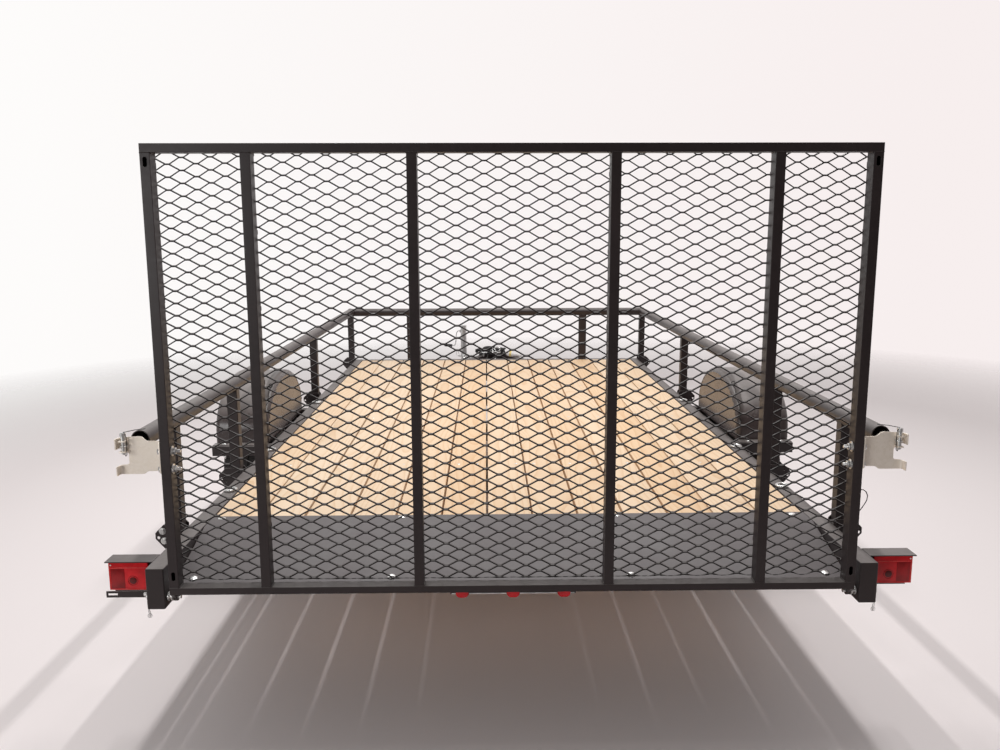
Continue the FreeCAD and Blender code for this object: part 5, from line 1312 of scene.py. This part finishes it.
section, stations = fender_section(), along_fender(40)
band_rings = [[Vector((x, y + ny * d, max(DECK_TOP, z + nz * d))) for x, d in section] for y, z, (ny, nz) in stations]
wall = [(y - ny * FENDER_ROLL, z - nz * FENDER_ROLL) for y, z, (ny, nz) in stations]
inner_wall = [Vector((FENDER_IN + dx, y, z)) for dx in (0, FENDER_SHEET) for y, z in wall]
count = len(wall)
wall_faces = [tuple(range(count)), tuple(reversed(range(count, 2 * count)))]
wall_faces += [(k, k + count, (k + 1) % count + count, (k + 1) % count) for k in range(count)]
feet = [block((FENDER_IN, AXLE_Y + y, DECK_TOP),
              (FENDER_OUT, AXLE_Y + y + FENDER_FOOT, DECK_TOP + FENDER_SHEET), 0.0005)
        for y in (-FENDER_HALF - FENDER_FOOT, FENDER_HALF)]
shell = joined([skin(band_rings, flipped=True), (inner_wall, wall_faces), *feet])
make("fender_shells", both(shell), "fender_steel", smooth_angle=40, replaces=("fender_left", "fender_right"))
fender_beads = [weld_bead((FENDER_IN - 0.0002, *wall[i]), (FENDER_IN - 0.0002, *wall[i + 1]), 0.0013)
                for i in range(2, count - 3, 2)]
make("fender_seams", both(*fender_beads), "spring_steel")
foot_bolt = dome(0.0105, 0.0045)
foot_places = [(x, AXLE_Y + end * (FENDER_HALF + 0.022), DECK_TOP + FENDER_SHEET)
               for x in (FENDER_IN + 0.045, FENDER_OUT - 0.045) for end in (-1, 1)]
foot_nuts = placed(bolted(0.0090, 0.0125, 0.006), [(x, y, DECK_TOP - 0.042) for x, y, z in foot_places], DOWN)
make("fender_bolts", both(placed(foot_bolt, foot_places, UP), foot_nuts), "zinc")
clip_y, clip_z = arch(0.60)
clamp = hoop((FENDER_IN + 0.016, clip_y, clip_z + 0.007), 0.0075, 16, up=(0, 4 / 15, 1))
wire_line = [(FENDER_IN + 0.014, clip_y + 0.010, clip_z + 0.006)]
for k in range(9):
    y, z = arch(0.58 - 0.060 * k, 0.003)
    wire_line.append((FENDER_IN + 0.012 + 0.006 * math.sin(1.7 * k), y, z))
for k in range(5):
    wire_line.append((FENDER_IN - 0.001 + 0.002 * math.sin(2.1 * k), AXLE_Y - FENDER_HALF - 0.004,
                      DECK_TOP + 0.100 - 0.024 * k))
make("fender_wires", both(cable(clamp, 0.0018, 6, closed=True), cable(wire_line, 0.0013, 6)), "grip")

# %% Outriggers, axle and springs
OUTRIGGER_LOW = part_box("fender_outriggers")[0][2]
members_inner = boards_high[0] + 0.003
SPRING_X = (members_side + members_inner) / 2
MEMBERS_LOW = 0.4225
HANGER_YS, HANGER_HALF, HANGER_BOLT_Z = (-1.1261, -0.4761), 0.028, 0.3765
U_BOLT_LOW = 0.2721
seam_x = members_side + 0.001
beads = []
for end in (-1, 1):
    y0 = AXLE_Y + end * FENDER_HALF
    y1 = y0 + end * 0.050
    for y in (y0, y1):
        beads.append(weld_bead((seam_x, y, OUTRIGGER_LOW + 0.001), (seam_x, y, DECK_TOP - 0.002), 0.0030))
    beads.append(weld_bead((seam_x, min(y0, y1), OUTRIGGER_LOW), (seam_x, max(y0, y1), OUTRIGGER_LOW), 0.0030))
for y in HANGER_YS:
    for x in (members_inner, members_side):
        beads.append(weld_bead((x, y - HANGER_HALF, MEMBERS_LOW), (x, y + HANGER_HALF, MEMBERS_LOW), 0.0032))
make("running_gear_welds", both(*beads), "black_frame")
u_places = [(SPRING_X + side * 0.0272, AXLE_Y + end * 0.0363, U_BOLT_LOW) for side in (-1, 1) for end in (-1, 1)]
make("u_bolt_nuts", both(placed(bolted(0.0095, 0.0120, 0.010), u_places, DOWN)), "zinc")
spring_bolt = headed(0.0130, 0.0060, 0.002, 0.0120, 0.0085)
spring_heads = placed(spring_bolt, [(members_side, y, HANGER_BOLT_Z) for y in HANGER_YS], RIGHT)
spring_nuts = placed(bolted(0.0120, 0.0130, 0.006), [(members_inner, y, HANGER_BOLT_Z) for y in HANGER_YS], LEFT)
make("spring_bolts", both(spring_heads, spring_nuts), "zinc")

# %% [markdown]
# At the front, the jack's crank is a bent wire with a ribbed grip, and a sprung pin with a pull ring holds the
# jack upright. Behind the coupler lies what a new trailer comes with: the lamp cable in loose coils, its
# connector, and the safety chain. A chain is one link, repeated along a line with every second link turned.

# %% Jack crank and pull pin
JACK_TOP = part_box("jack_tube")[1][2]
JACK_PLACE = Vector((-0.2515, 2.1252, 0.0))
JACK_OUT = Vector((-0.9063, 0.4226, 0.0))
GRIP_START, GRIP_LENGTH, GRIP_RADIUS = 0.1030, 0.066, 0.0110


def beside_jack(out, z, along=0.0):
    """A place by its distance from the jack's middle, away from the tongue."""
    return JACK_PLACE + JACK_OUT * out + Vector((-JACK_OUT.y, JACK_OUT.x, 0)) * along + Vector((0, 0, z))


CRANK = ((0.0222, 0.6250), (0.0260, 0.6250), (0.0400, 0.6280), (0.0530, 0.6230), (0.0610, 0.6110), (0.0650, 0.5950),
         (0.0670, 0.5650), (0.0700, 0.5350), (0.0750, 0.5165), (0.0830, 0.5080), (0.0950, 0.5060), (0.1450, 0.5060))
crank_wire = cable([beside_jack(out, z) for out, z in CRANK], 0.0036, 10)
crank_boss = moved(lathe([(0, 0.010), (0.002, 0.012), (0.008, 0.012), (0.010, 0.009)], 24),
                   beside_jack(0.0220, 0.6250), facing(JACK_OUT))
ribs = [(0, 0.0060)]
for k in range(10):
    start = 0.002 + GRIP_LENGTH * 0.94 * k / 10
    ribs += [(start, GRIP_RADIUS), (start + 0.0040, GRIP_RADIUS), (start + 0.0046, GRIP_RADIUS - 0.0012),
             (start + 0.0052, GRIP_RADIUS - 0.0012)]
ribs += [(GRIP_LENGTH - 0.001, GRIP_RADIUS), (GRIP_LENGTH, 0.0060)]
make("jack_handle", joined([crank_wire, crank_boss]), "jack_steel", "jack", replaces=("jack_crank",))
make("jack_grip", moved(lathe(ribs, 24), beside_jack(GRIP_START, 0.5060), facing(JACK_OUT)), "grip", "jack")
cap = lathe([(0, 0.0236), (0.0010, 0.0242), (0.0030, 0.0238), (0.0042, 0.0190)], 36)
seam_ring = lathe([(0, 0.0222), (0.0010, 0.0240), (0.0060, 0.0240), (0.0070, 0.0222)], 36, closed=True)
make("jack_cap", joined([moved(cap, beside_jack(0, JACK_TOP + 0.0002)), moved(seam_ring, beside_jack(0, 0.560))]),
     "jack_steel", "jack")
pull_pin = moved(lathe([(0, 0.0085), (0.012, 0.0085), (0.013, 0.0055), (0.026, 0.0055), (0.027, 0.0040)], 20),
                 beside_jack(0.0225, 0.4260), facing(JACK_OUT))
PULL = ((0.046, 0.4260), (0.052, 0.4230), (0.060, 0.4270), (0.0665, 0.4400), (0.0685, 0.4560), (0.0640, 0.4700),
        (0.0565, 0.4760), (0.0490, 0.4700), (0.0455, 0.4550), (0.0450, 0.4400))
pull_ring = cable([beside_jack(out, z, 0.003 * math.sin(4.0 * k)) for k, (out, z) in enumerate(PULL)], 0.0019, 8,
                  closed=True)
make("jack_pull_pin", joined([pull_pin, pull_ring]), "zinc", "jack")

# %% Coupler bolts, chain and cable
COUPLER_TOP = 0.428
TONGUE_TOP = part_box("tongue_beam_left")[1][2]
coupler_bolt = headed(0.0135, 0.0065, 0.002, 0.0125, 0.0080)
COUPLER_BOLTS = ((-0.070, 2.240), (0.070, 2.240), (0.0, 2.312))
top_bolts = placed(coupler_bolt, [(x, y, COUPLER_TOP) for x, y in COUPLER_BOLTS], UP)
make("coupler_bolts", top_bolts, "zinc")


def chain(path, wire, long_half, wide_half):
    """Links along a line of points, every second one turned a quarter about the line."""
    links = []
    for k in range(len(path) - 1):
        start, end = Vector(path[k]), Vector(path[k + 1])
        along = (end - start).normalized()
        across = along.orthogonal().normalized()
        across.rotate(Quaternion(along, math.radians(90 * (k % 2) + 35)))
        middle = (start + end) / 2
        ring = []
        for j in range(20):
            angle = TAU * j / 20
            straight = (long_half - wide_half) * (1 if math.cos(angle) > 0 else -1)
            ring.append(middle + along * (straight + wide_half * math.cos(angle))
                        + across * wide_half * math.sin(angle))
        links.append(cable(ring, wire, 6, closed=True))
    return joined(links)


COIL_FLATNESS = 0.75       # a coil's depth as a share of its width


def coil(middle, radius, turns, height, phase):
    """Points of a cable dropped in loose loops."""
    line = []
    for k in range(turns * 22 + 1):
        angle = TAU * k / 22
        reach = radius * (1.0 + 0.16 * math.sin(1.31 * angle / 3 + phase))
        lift = height * (0.5 + 0.5 * math.sin(0.83 * angle + 2 * phase))
        turn = angle + phase
        line.append(Vector(middle) + Vector((reach * math.cos(turn), COIL_FLATNESS * reach * math.sin(turn), lift)))
    return line


COILS = (                  # x, y and height above the tongue, then radius, turns, height of the heap and phase
    (-0.108, 2.205, 0.013, 0.042, 4, 0.034, 0.4), (-0.045, 2.235, 0.012, 0.047, 5, 0.046, 1.9),
    (0.030, 2.215, 0.013, 0.045, 4, 0.038, 3.1))
coils = [cable(coil((x, y, TONGUE_TOP + lift), *loose), 0.0058, 8) for x, y, lift, *loose in COILS]
tail = hanging((0.060, 2.175, TONGUE_TOP + 0.020), (0.100, 2.095, TONGUE_TOP + 0.024), 0.010, 10)
make("lamp_cable_coils", joined([*coils, cable(tail, 0.0052, 8)]), "grip")
pile = coil((0.008, 2.180, TONGUE_TOP + 0.020), 0.040, 2, 0.050, 0.9)
run = [(-0.255 + 0.0245 * k, 2.030 + 0.010 * k, TONGUE_TOP + 0.012 + 0.012 * math.sin(1.9 * k)) for k in range(5)]
make("safety_chain", joined([chain(pile[::5], 0.0030, 0.0165, 0.0085), chain(run, 0.0030, 0.0160, 0.0085)]), "zinc")
HOOK = [(-0.094, 2.105, 0.4270), (-0.094, 2.104, 0.4400), (-0.094, 2.103, 0.4550), (-0.112, 2.103, 0.4600),
        (-0.128, 2.104, 0.4560), (-0.132, 2.105, 0.4470)]
hook = joined([cable(HOOK, 0.0052, 8), cable([(-0.094, 2.103, 0.4570), (-0.064, 2.103, 0.4590)], 0.0050, 8)])
make("chain_hook", hook, "jack_steel")
plug_turn = facing(Vector((1.0, -0.10, -0.16)))
PLUG = ((0, 0.012), (0.003, 0.017), (0.018, 0.022), (0.020, 0.0235), (0.040, 0.0255), (0.046, 0.0255),
        (0.070, 0.0245), (0.100, 0.0190), (0.122, 0.0120), (0.126, 0.0090))
PLUG_BAND = ((0.0225, 0.0245), (0.0230, 0.0262), (0.0380, 0.0268), (0.0385, 0.0250))
squeezed = Matrix.Diagonal(Vector((1.0, 0.8, 1.0)))
plug_place = (0.088, 2.100, TONGUE_TOP + 0.0300)
PLUG_GREY = coated_steel("plug_grey", (0.78, 0.74, 0.72), 0.45, 0.10, mottle=0.1)
PLUG_YELLOW = coated_steel("plug_yellow", (0.78, 0.60, 0.20), 0.45, 0.10, mottle=0.1)
for name, outline, look in (("lamp_plug", PLUG, PLUG_GREY), ("lamp_plug_band", PLUG_BAND, PLUG_YELLOW)):
    flat = moved(lathe(outline, 28), (0, 0, 0), squeezed)
    make(name, moved(flat, plug_place, plug_turn), "lamp_body", finish=look)
WIRE_X = boards_low[0] + 0.014
LOOM = ((-0.060, 2.180, TONGUE_TOP + 0.006), (-0.062, 2.130, TONGUE_TOP - 0.004), (-0.085, 2.050, 0.392),
        (-0.150, 1.920, 0.378), (-0.420, 1.340, 0.378), (-0.560, 1.140, 0.400), (-0.860, 1.060, 0.424),
        (WIRE_X, 0.980, 0.428), (WIRE_X, 0.300, 0.424), (WIRE_X, -0.800, 0.428), (WIRE_X, -1.900, 0.424),
        (WIRE_X, -2.300, 0.428), (WIRE_X + 0.02, -2.365, 0.430))
make("wiring_loom", cable(LOOM, 0.0042, 8), "grip")

# %% Lamp bracket screws
arm_screw = joined([washer(0.0065, 0.0030, 0.0012), moved(dome(0.0048, 0.0030), (0, 0, 0.0012))])
ARM_SCREW_PLACE = (-0.9985, -2.4441, 0.4385)
make("plate_bracket_screws", placed(arm_screw, [ARM_SCREW_PLACE], BACK), "zinc")

# %% [markdown]
# Last, the visual model's box is printed beside the skeleton's, so that the two can be compared. Nothing that
# was added may make the trailer bigger than it was drawn.

# %% Print the boxes and finish
VISUAL_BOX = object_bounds()
for name, box in (("skeleton", CAD_BOX), ("visual", VISUAL_BOX)):
    print(name, [round(high - low, 4) for low, high in zip(*box)])
